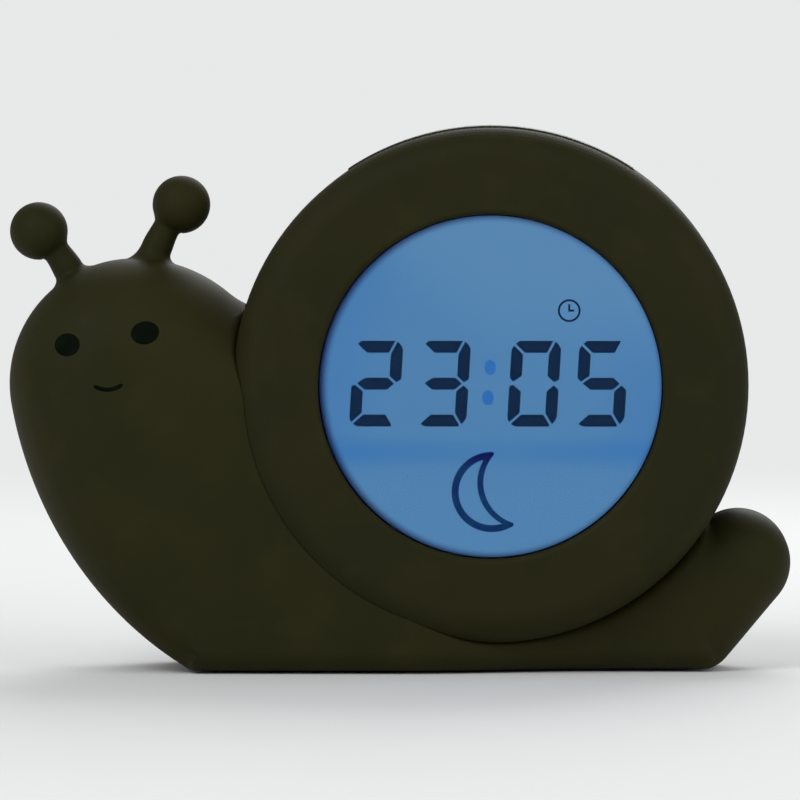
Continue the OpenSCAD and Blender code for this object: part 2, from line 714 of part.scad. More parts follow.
module display_holder() {
    color([0.85, 0.86, 0.86]) in_drum() {
        difference() {
            union() {
                disc_at(holder_front - holder_t, holder_out_r, holder_t);
                difference() {
                    disc_at(holder_front - overlap, holder_out_r, plate_z - holder_front + overlap);
                    disc_at(holder_front - 2, holder_in_r, plate_z - holder_front + 4);
                }
                around(holder_ring_r, holder_angles) disc_at(holder_front - holder_t, 3, holder_t);
                for (a = holder_angles) rotate(a)
                    translate([holder_out_r - 1, -3, holder_front - holder_t])
                        cube([holder_ring_r - holder_out_r + 1, 6, holder_t]);
            }
            translate([-strip_half - fit, strip_y - fit, holder_front - holder_t - 1])
                cube([2 * (strip_half + fit), strip_t + 2 * fit, holder_t + 2]);
            around(holder_ring_r, holder_angles)
                disc_at(holder_front - holder_t - 1, small_screw_r + screw_clear, holder_t + 2);
            for (p = led_places) translate(p)
                translate([0, 0, holder_front - holder_t - 1]) cylinder(r = 2.4, h = holder_t + 2);
        }
        for (p = post_places) translate(p) difference() {
            disc_at(board_front, 2.6, board_post + overlap);
            disc_at(board_front - 1, small_screw_r + screw_clear, board_post);
        }
    }
}

// ---------------------------------------------------------------- boards and what is on them

module small_screw(at_z, length = small_screw_l) {
    translate([0, 0, at_z - small_head_h]) {
        cylinder(r = small_head_r, h = small_head_h, $fn = 32);
        cylinder(r = small_screw_r, h = small_head_h + length, $fn = 32);
    }
}

key_ring_r = inner_r - key_inset;
key_start = 16;                           // direction of the first rear key
key_step = 19;                            // from one rear key to the next
key_angles = [for (i = [0:4]) key_start + i * key_step];
key_post_r = 2.2;
key_post_turn = 17;                       // from the outer keys to the posts beside them
key_post_in = 7.6;                        // the middle post stands this far inside the keys
key_posts = [key_ring_r * dir(key_angles[0] - key_post_turn),
             (key_ring_r - key_post_in) * dir((key_angles[1] + key_angles[2]) / 2),
             key_ring_r * dir(key_angles[4] + key_post_turn)];
key_board_in = key_ring_r - key_post_in - key_post_r + 0.5;
key_board_out = screw_ring_r - cover_post_r - 0.4;
key_board_depth = 13;                     // from the drum's back to the key board's rear side
key_board_z = -half + key_board_depth;
key_board_more = 4;                       // the board goes this much further round than its posts

module board_screws() {
    color([0.6, 0.6, 0.62]) in_drum() {
        around(holder_ring_r, holder_angles) small_screw(holder_front - holder_t);
        for (p = post_places) translate(p) small_screw(board_front - board_t);
        for (p = key_posts) translate(p) mirror([0, 0, 1]) small_screw(-key_board_z - board_t);
        for (s = [-1, 1]) translate([s * (bar_out - bar_w / 2), 0, light_mid_z])
            rotate([90, 0, 0]) small_screw(-light_board_y - board_t, board_t + 2);
    }
}

module main_board() {
    color(board_green) in_drum() difference() {
        disc_at(board_front - board_t, board_r, board_t);
        for (p = post_places) translate(p)
            disc_at(board_front - board_t - 1, small_screw_r + screw_clear, board_t + 2);
    }
}

module zebra_strip() {
    color([0.15, 0.15, 0.16]) in_drum()
        translate([-strip_half, strip_y, board_front])
            cube([2 * strip_half, strip_t, guide_front - board_front]);
}

module backlight_leds() {
    led = [3.5, 2.8, 1.9];
    color([0.95, 0.95, 0.85]) in_drum() for (p = led_places)
        translate([p.x - led.x / 2, p.y - led.y / 2, board_front]) cube(led);
}

// The chips' corners and sizes, and the round capacitor's middle and size
processor_at = [-18, 8];
processor = [12, 12, 1.6];
regulator_at = [-20, -12];
regulator = [5, 4, 1.8];
memory_at = [4, -12];
memory = [6, 5, 1.2];
capacitor_at = [-6, -14];
capacitor_r = 3;
capacitor_h = 3;

module board_chips() {
    back = board_front - board_t;
    color([0.12, 0.12, 0.13]) in_drum() {
        translate([each processor_at, back - processor.z]) cube(processor);
        translate([each regulator_at, back - regulator.z]) cube(regulator);
        translate([each memory_at, back - memory.z]) cube(memory);
        translate([each capacitor_at, back - capacitor_h])
            cylinder(r = capacitor_r, h = capacitor_h, $fn = 32);
    }
}

switch_in = 6;                               // from a bar's screw to the switch beside it
switch_half = bar_out - bar_w / 2 - switch_in;
lamp_in = 6.5;                               // from a switch to the lamp beside it
led_spread = switch_half - lamp_in;
switch_h = 3;

module light_board() {
    color(board_green) in_drum() difference() {
        translate([-bar_out - 1, light_board_y, light_board_z])
            cube([2 * (bar_out + 1), board_t, light_board_w]);
        for (s = [-1, 1]) translate([s * (bar_out - bar_w / 2), light_board_y + board_t + 1, light_mid_z])
            rotate([90, 0, 0]) cylinder(r = small_screw_r + screw_clear, h = board_t + 2);
    }
}

module night_light_leds() {
    led = [3.5, 1.9, 2.8];
    color([0.95, 0.95, 0.85]) in_drum() for (i = [-1:1])
        translate([i * led_spread - led.x / 2, light_board_y + board_t, light_mid_z - led.z / 2])
            cube(led);
}

module top_switches() {
    side = 6;
    color([0.15, 0.15, 0.16]) in_drum() for (s = [-1, 1])
        translate([s * switch_half - side / 2, light_board_y + board_t, light_mid_z - side / 2])
            cube([side, switch_h, side]);
}

// ---------------------------------------------------------------- top key

module top_key() {
    flange_t = 1.5;
    flange = 1.5;
    flange_r = inner_r - loose;
    stem_low = light_board_y + board_t + switch_h + top_key_travel + 0.1;
    stem_high = sqrt(pow(flange_r - flange_t, 2) - pow(switch_half, 2)) + overlap;
    color(milky) in_drum() {
        intersection() {
            rotate(45) rotate_extrude(angle = 90, $fn = 144)
                translate([flange_r - flange_t, key_back])
                    square([drum_r + top_key_proud - flange_r + flange_t, top_key_l]);
            translate([-top_key_half, 0, key_back - 1]) cube([2 * top_key_half, drum_r * 2, top_key_l + 2]);
        }
        intersection() {
            rotate(45) rotate_extrude(angle = 90, $fn = 144)
                translate([flange_r - flange_t, key_back - flange])
                    square([flange_t, top_key_l + 2 * flange]);
            translate([-top_key_half - flange, 0, key_back - 5])
                cube([2 * (top_key_half + flange), drum_r * 2, top_key_l + 10]);
        }
        for (s = [-1, 1]) translate([s * switch_half, 0, light_mid_z]) rotate([-90, 0, 0])
            translate([0, 0, stem_low])
                cylinder(r = 1.8, h = stem_high - stem_low, $fn = 32);
    }
}

// ---------------------------------------------------------------- rear cover

bay_l = cell_l + 5.5;
bay_h = 3 * cell_pitch;
bay_wall = 1.4;
bay_low = bay_wall - sqrt(pow(inner_r - bay_margin, 2) - pow(bay_l / 2 + bay_wall, 2));
bay_high = bay_low + bay_h;
bay_mid = (bay_low + bay_high) / 2;
door_t = 1.6;
door_side = 2;
door_low = bay_low - 1.7;
door_high = bay_high + 6.6;
door_ledge = -half + door_t;               // rear side of the ledge that the door rests on
cell_z = door_ledge + 0.3 + cell_r;        // axis of the cells
bay_floor = cell_z + cell_r + 0.2;
door_screw_y = bay_high + 3.3;
door_boss_l = 9;
speaker_r = 14;
cage_wall = 1.2;
cage_gap = 3;                              // from the bay to the speaker's cage
speaker_in = 28.3;                         // from the drum's inner wall to the speaker's middle
speaker_c = [-(inner_r - speaker_in), bay_high + bay_wall + cage_gap + cage_wall + fit + speaker_r];
usb_recess = [7, 12.6];
usb_rim = 1.5;
usb_gap = 2.1;                             // from the bay to the socket's rim
usb_drop = 19.5;                           // the socket's middle under the drum's axis
usb_c = [bay_l / 2 + bay_wall + usb_gap + usb_rim + usb_recess.x / 2, -usb_drop];
usb_shell = [3.26, 8.94, 7.35];
usb_back_t = 1.2;
counterbore_l = 13;
counterbore_z = -half + counterbore_l;

module rounded_plate(low, high, r, z, t) {
    translate([0, 0, z]) linear_extrude(t) {
        translate([low.x + r, low.y]) square([high.x - low.x - 2 * r, high.y - low.y]);
        translate([low.x, low.y + r]) square([high.x - low.x, high.y - low.y - 2 * r]);
        for (x = [low.x + r, high.x - r], y = [low.y + r, high.y - r])
            translate([x, y]) circle(r = r, $fn = 32);
    }
}

door_from = [-bay_l / 2 - door_side, door_low];
door_to = [bay_l / 2 + door_side, door_high];
corner = 3;

module rear_cover() {
    low = floor_z - overlap;       // where what stands on the rear wall starts
    cage_h = 5;
    hole_r = 0.9;                  // of the speaker's grille
    hole_step = 4;
    color(olive) in_drum() {
        difference() {
            union() {
                difference() {
                    mirror([0, 0, 1]) cup(drum_r, rear_edge_r, -joint_z, half, joint_groove);
                    mirror([0, 0, 1]) cup(inner_r, rear_edge_r - wall, -joint_z - 1, -floor_z);
                }
                difference() {         // spigot inside the front moulding
                    disc_at(joint_z - 3, inner_r + overlap, 3);
                    disc_at(joint_z - 4, inner_r - wall * 0.7, 8);
                }
                difference() {
                    disc_at(joint_z - 1, inner_r - fit, 4);
                    disc_at(joint_z - 4, inner_r - wall * 0.7, 8);
                }
                around(screw_ring_r, screw_angles) disc_at(low, cover_post_r, joint_z - low);
                translate([-bay_l / 2 - bay_wall, bay_low - bay_wall, low])
                    cube([bay_l + 2 * bay_wall, bay_h + 2 * bay_wall, bay_floor + bay_wall - low]);
                translate([0, door_screw_y, low]) cylinder(r = 3.4, h = door_boss_l);
                translate(concat(usb_c - usb_recess / 2 - [usb_rim, usb_rim], low))
                    cube([usb_recess.x + 2 * usb_rim, usb_recess.y + 2 * usb_rim, overlap + usb_back_t]);
                for (p = key_posts) translate(p) disc_at(low, key_post_r, key_board_z - low);
                translate(speaker_c) disc_at(low, speaker_r + fit + cage_wall, cage_h);
            }
            around(screw_ring_r, screw_angles) {
                disc_at(-half - 1, case_head_r + counterbore_gap, counterbore_z + half + 1);
                disc_at(-half, screw_r + screw_clear, drum_depth);
            }
            translate([-bay_l / 2, bay_low, -half - 1]) cube([bay_l, bay_h, bay_floor + half + 1]);
            rounded_plate(door_from, door_to, corner, -half - 1, door_t + 1);
            translate([0, door_screw_y, 0]) disc_at(-half - 1, screw_r + screw_clear, door_boss_l);
            around(key_ring_r, key_angles) disc_at(-half - 1, key_r + key_gap, wall + 2);
            for (p = key_posts) translate(p)
                disc_at(key_board_z - small_screw_l, small_screw_r + screw_clear, small_screw_l + 1);
            translate(speaker_c) {
                disc_at(floor_z, speaker_r + fit, 2 * cage_h);
                disc_at(-half - 1, hole_r, 2 * wall, $fn = 24);
                for (k = [1, 2]) around(hole_step * k, [for (i = [0:6 * k - 1]) 60 / k * i])
                    disc_at(-half - 1, hole_r, 2 * wall, $fn = 24);
            }
            translate(concat(usb_c - usb_recess / 2, -half - 1))
                cube([usb_recess.x, usb_recess.y, wall + 1]);
            translate([usb_c.x - usb_shell.x / 2 - fit, usb_c.y - usb_shell.y / 2 - fit, -half - 1])
                cube([usb_shell.x + 2 * fit, usb_shell.y + 2 * fit, 2 * wall + 2]);
        }
    }
}

module screw(head_r, head_h, shank_r, length) {
    difference() {
        union() {
            cylinder(r = head_r, h = head_h);
            cylinder(r = shank_r, h = head_h + length);
        }
        for (a = [0, 90]) rotate(a)
            translate([-head_r * 0.6, -0.35, -0.1]) cube([head_r * 1.2, 0.7, 0.9]);
    }
}

case_head_r = 2.7;
case_head_h = 2;
counterbore_gap = 0.2;
thread_in = 9;                             // the screws reach this far into the front moulding

module case_screws() {
    color([0.55, 0.55, 0.57]) in_drum() around(screw_ring_r, screw_angles)
        translate([0, 0, counterbore_z - case_head_h])
            screw(case_head_r, case_head_h, screw_r, joint_z - counterbore_z + thread_in);
}

// ---------------------------------------------------------------- rear keys

key_switch_h = 3.5;
plunger_h = 0.7;

module rear_key(i) {
    flange_t = 1;
    switch_top = key_board_z - key_switch_h - plunger_h;
    low = floor_z + loose;
    color([0.42, 0.42, 0.30]) in_drum() around(key_ring_r, [key_angles[i]]) {
        disc_at(-half - key_proud, key_r, low + half + key_proud + flange_t);
        disc_at(low, key_r + 0.9, flange_t);
        disc_at(low, 1.6, switch_top - key_travel - 0.1 - low);
    }
}

module key_light() { rear_key(4); }
module key_alarm() { rear_key(3); }
module key_time() { rear_key(2); }
module key_up() { rear_key(1); }
module key_down() { rear_key(0); }

module key_board() {
    beyond = key_post_turn + key_board_more;
    color(board_green) in_drum() difference() {
        rotate(key_start - beyond) translate([0, 0, key_board_z])
            rotate_extrude(angle = 4 * key_step + 2 * beyond) translate([key_board_in, 0])
                square([key_board_out - key_board_in, board_t]);
        for (p = key_posts) translate(p)
            disc_at(key_board_z - 1, small_screw_r + screw_clear, board_t + 2);
    }
}

module key_switches() {
    side = 6;
    color([0.15, 0.15, 0.16]) in_drum() around(key_ring_r, key_angles) {
        translate([-side / 2, -side / 2, key_board_z - key_switch_h]) cube([side, side, key_switch_h]);
        disc_at(key_board_z - key_switch_h - plunger_h, 1.75, plunger_h + overlap);
    }
}

// ---------------------------------------------------------------- ribbon between the boards

ribbon_w = 12;
ribbon_at = (key_ring_r - 5.9) * dir(73);
ribbon_bow = 11;          // radius of the ribbon's bow
board_back = board_front - board_t;
connector_h = 3;

module ribbon() {
    from = key_board_z + board_t + connector_h - 0.5;
    to = board_back - connector_h + 0.5;
    half_a = asin((to - from) / 2 / ribbon_bow);
    color([0.85, 0.85, 0.8]) in_drum()
        translate([ribbon_at.x, ribbon_at.y + ribbon_bow * cos(half_a), (from + to) / 2])
            rotate([0, 90, 0]) rotate(270 - half_a) rotate_extrude(angle = 2 * half_a)
                translate([ribbon_bow - 0.15, 0]) square([0.3, ribbon_w]);
}

module connectors() {
    size = [ribbon_w + 2, 4, connector_h];
    color([0.9, 0.9, 0.85]) in_drum()
        for (z = [key_board_z + board_t, board_back - connector_h])
            translate([ribbon_at.x - 1, ribbon_at.y - size.y / 2, z]) cube(size);
}

// ---------------------------------------------------------------- speaker, socket

speaker_h = 5;

module speaker() {
    color([0.25, 0.25, 0.27]) in_drum() translate(speaker_c) translate([0, 0, floor_z]) {
        difference() {
            union() {
                cylinder(r = speaker_r, h = speaker_h);
                cylinder(r = 8, h = speaker_h + 4);
            }
            translate([0, 0, -1]) cylinder(r = speaker_r - 1.5, h = speaker_h - 0.5);
        }
    }
}

module speaker_cone() {
    r = speaker_r - 1.5 - 0.1;
    color([0.08, 0.08, 0.09]) in_drum() translate(speaker_c) translate([0, 0, floor_z])
        rotate_extrude() polygon([[0, 1.6], [3, 1.9], [4, 3.2], [r - 2, 1], [r, 1.2], [r, 1.7],
                                  [r - 2, 1.6], [4, speaker_h - 1.5], [0, speaker_h - 1.5]]);
}

module usb_socket() {
    z0 = floor_z + 0.1;
    color([0.75, 0.75, 0.77]) in_drum() translate([usb_c.x, usb_c.y, z0]) {
        difference() {
            translate([-usb_shell.x / 2, -usb_shell.y / 2, 0]) cube(usb_shell);
            translate([-usb_shell.x / 2 + 0.3, -usb_shell.y / 2 + 0.3, -1])
                cube([usb_shell.x - 0.6, usb_shell.y - 0.6, usb_shell.z]);
        }
        translate([-0.35, -3.3, 0.8]) cube([0.7, 6.6, usb_shell.z - 1]);
    }
}

module power_board() {
    color(board_green) in_drum()
        translate([usb_c.x + usb_shell.x / 2, usb_c.y - 6.5, floor_z + usb_back_t])
            cube([1.2, 13, 12]);
}

// ---------------------------------------------------------------- batteries and their door

nub = 1;
spring_room = bay_l - cell_l - 0.8;
cell_ys = [for (i = [-1:1]) bay_mid + i * cell_pitch];
function flip(i) = i == 1 ? -1 : 1;

module batteries() {
    color([0.35, 0.38, 0.42]) in_drum() for (i = [0:2])
        translate([0, cell_ys[i], cell_z]) mirror([flip(i) < 0 ? 1 : 0, 0, 0]) {
            start = bay_l / 2 - 0.4 - cell_l;
            translate([start, 0, 0]) rotate([0, 90, 0]) cylinder(r = cell_r, h = cell_l - nub);
            translate([start, 0, 0]) rotate([0, 90, 0]) cylinder(r = 1.9, h = cell_l);
        }
}

// A conical spring: a wire swept along a helix
module contact_spring(length) {
    turns = 3;
    steps = 30;
    wire = 0.3;
    sides = 6;
    function spot(k) = let (f = k / steps, r = lerp(3.2, 2, f))
        [r * cos(360 * turns * f), r * sin(360 * turns * f), lerp(wire, length - wire, f)];
    points = [for (k = [0:steps], s = [0:sides - 1])
        let (a = 360 * turns * k / steps, c = spot(k), q = wire * dir(360 * s / sides))
        c + [q.x * cos(a), q.x * sin(a), q.y]];
    walls = [for (k = [0:steps - 1], s = [0:sides - 1])
        let (a = k * sides + s, b = k * sides + (s + 1) % sides)
        each [[a, b, b + sides], [a, b + sides, a + sides]]];
    caps = concat([for (s = [1:sides - 2]) [0, s + 1, s]],
                  [for (s = [1:sides - 2]) [steps * sides, steps * sides + s, steps * sides + s + 1]]);
    polyhedron(points, concat(walls, caps));
}

module battery_contacts() {
    plate_t = 0.4;
    size = 8;
    color([0.8, 0.8, 0.82]) in_drum() for (i = [0:2])
        translate([0, cell_ys[i], cell_z]) mirror([flip(i) < 0 ? 1 : 0, 0, 0]) {
            for (x = [-bay_l / 2, bay_l / 2 - plate_t])
                translate([x, -size / 2, -size / 2]) cube([plate_t, size, size]);
            translate([-bay_l / 2 + plate_t, 0, 0]) rotate([0, 90, 0]) contact_spring(spring_room);
        }
}

module battery_door() {
    g = [loose, loose];
    color(olive) in_drum() difference() {
        rounded_plate(door_from + g, door_to - g, corner - loose, -half, door_t - 0.05);
        translate([0, door_screw_y, -half]) cylinder(r1 = 2.5, r2 = 1.4, h = 1.1);
        translate([0, door_screw_y, 0]) disc_at(-half - 1, screw_r + 0.1, 5);
    }
}

module door_screw() {
    color([0.55, 0.55, 0.57]) in_drum() translate([0, door_screw_y, -half]) difference() {
        union() {
            cylinder(r1 = 2.4, r2 = 1.3, h = 1.1);
            cylinder(r = screw_r - 0.1, h = door_boss_l - 2);
        }
        for (a = [0, 90]) rotate(a) translate([-1.4, -0.3, -0.1]) cube([2.8, 0.6, 0.8]);
    }
}

// ---------------------------------------------------------------- nodes

body_front();
body_rear();
feelers();
eyes();
mouth();
base_pad();
shell_ring();
rear_cover();
case_screws();
display_window();
display_gasket();
lcd_glass();
digits();
colon();
moon_icon();
clock_icon();
light_guide();
display_holder();
board_screws();
main_board();
zebra_strip();
backlight_leds();
board_chips();
top_key();
light_board();
night_light_leds();
top_switches();
key_light();
key_alarm();
key_time();
key_up();
key_down();
key_board();
key_switches();
ribbon();
connectors();
speaker();
speaker_cone();
usb_socket();
power_board();
batteries();
battery_contacts();
battery_door();
door_screw();
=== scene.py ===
"""The looks of a snail-shaped alarm clock with a night light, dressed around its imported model.

Lengths are in millimetres, and MM turns them into metres where a mesh, a lamp or a node is made.
Directions are in degrees from +X to +Z, and places on the snail are measured above its base pad.
"""
import logging
import math
from dataclasses import dataclass
from enum import Enum

import bmesh
import bpy
import numpy as np
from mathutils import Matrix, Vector


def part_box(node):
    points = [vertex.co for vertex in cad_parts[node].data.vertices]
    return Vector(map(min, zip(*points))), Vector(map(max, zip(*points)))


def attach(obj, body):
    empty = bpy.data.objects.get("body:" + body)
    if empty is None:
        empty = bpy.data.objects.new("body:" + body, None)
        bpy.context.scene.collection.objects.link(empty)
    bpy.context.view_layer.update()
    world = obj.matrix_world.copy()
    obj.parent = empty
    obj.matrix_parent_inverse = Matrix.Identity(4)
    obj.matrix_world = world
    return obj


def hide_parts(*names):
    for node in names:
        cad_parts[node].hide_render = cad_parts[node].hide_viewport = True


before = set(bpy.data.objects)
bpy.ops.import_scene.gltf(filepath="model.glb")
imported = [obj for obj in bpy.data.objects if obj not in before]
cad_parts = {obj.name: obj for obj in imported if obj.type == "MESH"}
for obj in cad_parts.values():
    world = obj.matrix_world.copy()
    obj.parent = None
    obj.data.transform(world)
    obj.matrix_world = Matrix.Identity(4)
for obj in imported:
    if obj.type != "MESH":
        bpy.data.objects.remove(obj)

log = logging.getLogger("snail_clock")

MM = 0.001
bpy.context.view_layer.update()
QUARTER = math.pi / 2
Colour = tuple[float, float, float, float]
Triple = tuple[float, float, float]
Span = tuple[float, float]
Points = np.ndarray


def screen(red: int, green: int, blue: int) -> Colour:
    """Turns a colour as a screen shows it into a linear one.

    Args:
        red: Red, 0 to 255.
        green: Green, 0 to 255.
        blue: Blue, 0 to 255.

    Returns:
        The linear colour with full alpha.
    """
    def part(value: int) -> float:
        """Turns one channel linear, by the curve that screens use."""
        share = value / 255
        return share / 12.92 if share <= 0.04045 else ((share + 0.055) / 1.055) ** 2.4

    return part(red), part(green), part(blue), 1.0


# ------------------------------------------------------------------ nodes as expressions


class Signal:
    """A value on its way through a tree of nodes, which sums and products can be taken of."""

    def __init__(self, wiring: "Wiring", socket: bpy.types.NodeSocket) -> None:
        """Wraps an output socket of a tree."""
        self.wiring = wiring
        self.socket = socket

    def __add__(self, other: "Signal | float") -> "Signal":
        """self + other."""
        return self.wiring.math("ADD", self, other)

    def __radd__(self, other: float) -> "Signal":
        """other + self."""
        return self.wiring.math("ADD", other, self)

    def __sub__(self, other: "Signal | float") -> "Signal":
        """self - other."""
        return self.wiring.math("SUBTRACT", self, other)

    def __rsub__(self, other: float) -> "Signal":
        """other - self."""
        return self.wiring.math("SUBTRACT", other, self)

    def __mul__(self, other: "Signal | float") -> "Signal":
        """self * other."""
        return self.wiring.math("MULTIPLY", self, other)

    def __rmul__(self, other: float) -> "Signal":
        """other * self."""
        return self.wiring.math("MULTIPLY", other, self)

    def __truediv__(self, other: "Signal | float") -> "Signal":
        """self / other."""
        return self.wiring.math("DIVIDE", self, other)

    def __rtruediv__(self, other: float) -> "Signal":
        """other / self."""
        return self.wiring.math("DIVIDE", other, self)

    def __pow__(self, other: float) -> "Signal":
        """self to the power of other."""
        return self.wiring.math("POWER", self, other)

    def __rpow__(self, other: float) -> "Signal":
        """other to the power of self."""
        return self.wiring.math("POWER", other, self)

    def size(self) -> "Signal":
        """The value without its sign."""
        return self.wiring.math("ABSOLUTE", self)

    def swing(self, amount: float) -> "Signal":
        """How far a pattern is from its middle of 0.5, times an amount."""
        return (self - 0.5) * amount

    def eased(self, low: float, high: float, share: float = 1.0) -> "Signal":
        """Runs smoothly from 0 up to a share.

        Args:
            low: The value that gives 0.
            high: The value that gives the share.
            share: What it runs up to.

        Returns:
            The eased value, which doesn't change any more outside low and high.
        """
        return self.wiring.signal(
            "Result", "ShaderNodeMapRange", {"interpolation_type": "SMOOTHSTEP"},
            {"Value": self, "From Min": low, "From Max": high, "To Max": share})


class Wiring:
    """A tree of nodes that grows out of expressions."""

    def __init__(self, tree: bpy.types.NodeTree) -> None:
        """Takes over a tree."""
        self.tree = tree

    def feed(self, socket: bpy.types.NodeSocket, value: object) -> None:
        """Links a signal to a socket, or sets the socket's value.

        Args:
            socket: The input socket.
            value: A signal, a number, a colour or a vector.
        """
        if isinstance(value, Signal):
            self.tree.links.new(value.socket, socket)
        else:
            socket.default_value = value

    def node(self, kind: str, settings: dict[str, object] | None = None,
             inputs: dict[str | int, object] | None = None) -> bpy.types.Node:
        """Adds a node.

        Args:
            kind: The node's type.
            settings: Its settings, which are set first.
            inputs: Values or links of its sockets, by name or number.

        Returns:
            The node.
        """
        node = self.tree.nodes.new(kind)
        for key, value in (settings or {}).items():
            setattr(node, key, value)
        for key, value in (inputs or {}).items():
            self.feed(node.inputs[key], value)
        return node

    def signal(self, output: str | int, kind: str, settings: dict[str, object] | None = None,
               inputs: dict[str | int, object] | None = None) -> Signal:
        """Adds a node in the same way and takes one of its outputs, by name or number."""
        return Signal(self, self.node(kind, settings, inputs).outputs[output])

    def math(self, operation: str, *values: Signal | float) -> Signal:
        """Works out one operation on one or two values."""
        return self.signal(0, "ShaderNodeMath", {"operation": operation},
                           dict(enumerate(values)))


class Recipe(Wiring):
    """One material, put together out of nodes."""

    MIX_FACTOR, MIX_A, MIX_B, MIX_RESULT = 0, 6, 7, 2

    def __init__(self, name: str) -> None:
        """Starts a material.

        Args:
            name: The material's name.
        """
        self.material = bpy.data.materials.new(name)
        self.material.use_nodes = True
        super().__init__(self.material.node_tree)
        self.surface = self.tree.nodes["Principled BSDF"]

    def mix(self, factor: Signal | float, first: Signal | Colour,
            second: Signal | Colour) -> Signal:
        """Mixes two colours.

        Args:
            factor: 0 for the first colour, 1 for the second.
            first: The first colour.
            second: The second colour.

        Returns:
            The mixed colour.
        """
        return self.signal(
            self.MIX_RESULT, "ShaderNodeMix", {"data_type": "RGBA"},
            {self.MIX_FACTOR: factor, self.MIX_A: first, self.MIX_B: second})

    def place(self) -> Signal:
        """The place on the object, in metres."""
        return self.signal("Object", "ShaderNodeTexCoord")

    def along(self) -> tuple[Signal, Signal, Signal]:
        """The place on the object as X, Y and Z in millimetres."""
        split = self.node("ShaderNodeSeparateXYZ", None, {0: self.place()})
        return tuple(Signal(self, output) / MM for output in split.outputs)

    def noise(self, grain_mm: float, detail: float = 2.0,
              stretch: Triple | None = None) -> Signal:
        """A cloudy pattern.

        Args:
            grain_mm: The size of its clouds.
            detail: How many finer layers it has.
            stretch: How many times finer it is along X, Y and Z.

        Returns:
            Its value, around 0.5.
        """
        where = self.place()
        if stretch is not None:
            where = self.signal(0, "ShaderNodeMapping", None, {"Vector": where, "Scale": stretch})
        return self.signal("Fac", "ShaderNodeTexNoise", None,
                           {"Vector": where, "Scale": 1 / (grain_mm * MM), "Detail": detail})

    def bump(self, height: Signal, depth_mm: float) -> Signal:
        """Tilts the surface by a height, of which 1 stands for a depth."""
        return self.signal("Normal", "ShaderNodeBump", None,
                           {"Height": height, "Distance": depth_mm * MM})

    def finish(self, sockets: dict[str, object]) -> bpy.types.Material:
        """Feeds the surface and hands the material over.

        Args:
            sockets: Values or signals for the surface's sockets.

        Returns:
            The material.
        """
        for name, value in sockets.items():
            self.feed(self.surface.inputs[name], value)
        return self.material


# ------------------------------------------------------------------ finishes


@dataclass(frozen=True)
class Finish:
    """What a surface is made of and how it looks.

    A field that ends in _at says between which two values of a pattern a tone comes in, and
    where it has a third number, how much of it. One that ends in _shine or _dull says how far a
    pattern changes the roughness, and one that ends in _part how much of the surface's height
    it makes.
    """

    name: str

    def material(self) -> bpy.types.Material:
        """Builds the material, each finish in its own way."""
        raise NotImplementedError


@dataclass(frozen=True)
class SoftPlastic(Finish):
    """Moulded plastic with a soft-touch coat: fine grain, faint clouds, a soft shine."""

    colour: Colour
    lighter: Colour
    darker: Colour
    roughness: float = 0.62
    specular: float = 0.1
    cloud: float = 26.0
    cloud_at: Span = (0.38, 0.66)
    cloud_shine: float = 0.12
    streak: float = 7.0
    streak_at: Triple = (0.52, 0.74, 0.45)
    grain: float = 0.32
    grain_shine: float = 0.16
    grain_depth: float = 0.012
    grain_part: float = 0.7
    hollow_at: Triple = (0.0, 0.22, 0.35)
    pore_in_grains: float = 3.4
    pore_part: float = 0.5

    def material(self) -> bpy.types.Material:
        """Builds the material.

        Returns:
            The material.
        """
        recipe = Recipe(self.name)
        clouds = recipe.noise(self.cloud, detail=3)
        streaks = recipe.noise(self.streak)
        grain = recipe.noise(self.grain)
        pores = recipe.noise(self.grain * self.pore_in_grains, detail=1)
        tone = recipe.mix(clouds.eased(*self.cloud_at), self.darker, self.colour)
        tone = recipe.mix(streaks.eased(*self.streak_at), tone, self.lighter)
        tone = recipe.mix((0.5 - grain).eased(*self.hollow_at), tone, self.darker)
        shine = grain.swing(self.grain_shine) + clouds.swing(self.cloud_shine)
        height = grain * self.grain_part + pores * self.pore_part
        return recipe.finish({
            "Base Color": tone, "Roughness": self.roughness + shine,
            "Normal": recipe.bump(height, self.grain_depth),
            "Specular IOR Level": self.specular})


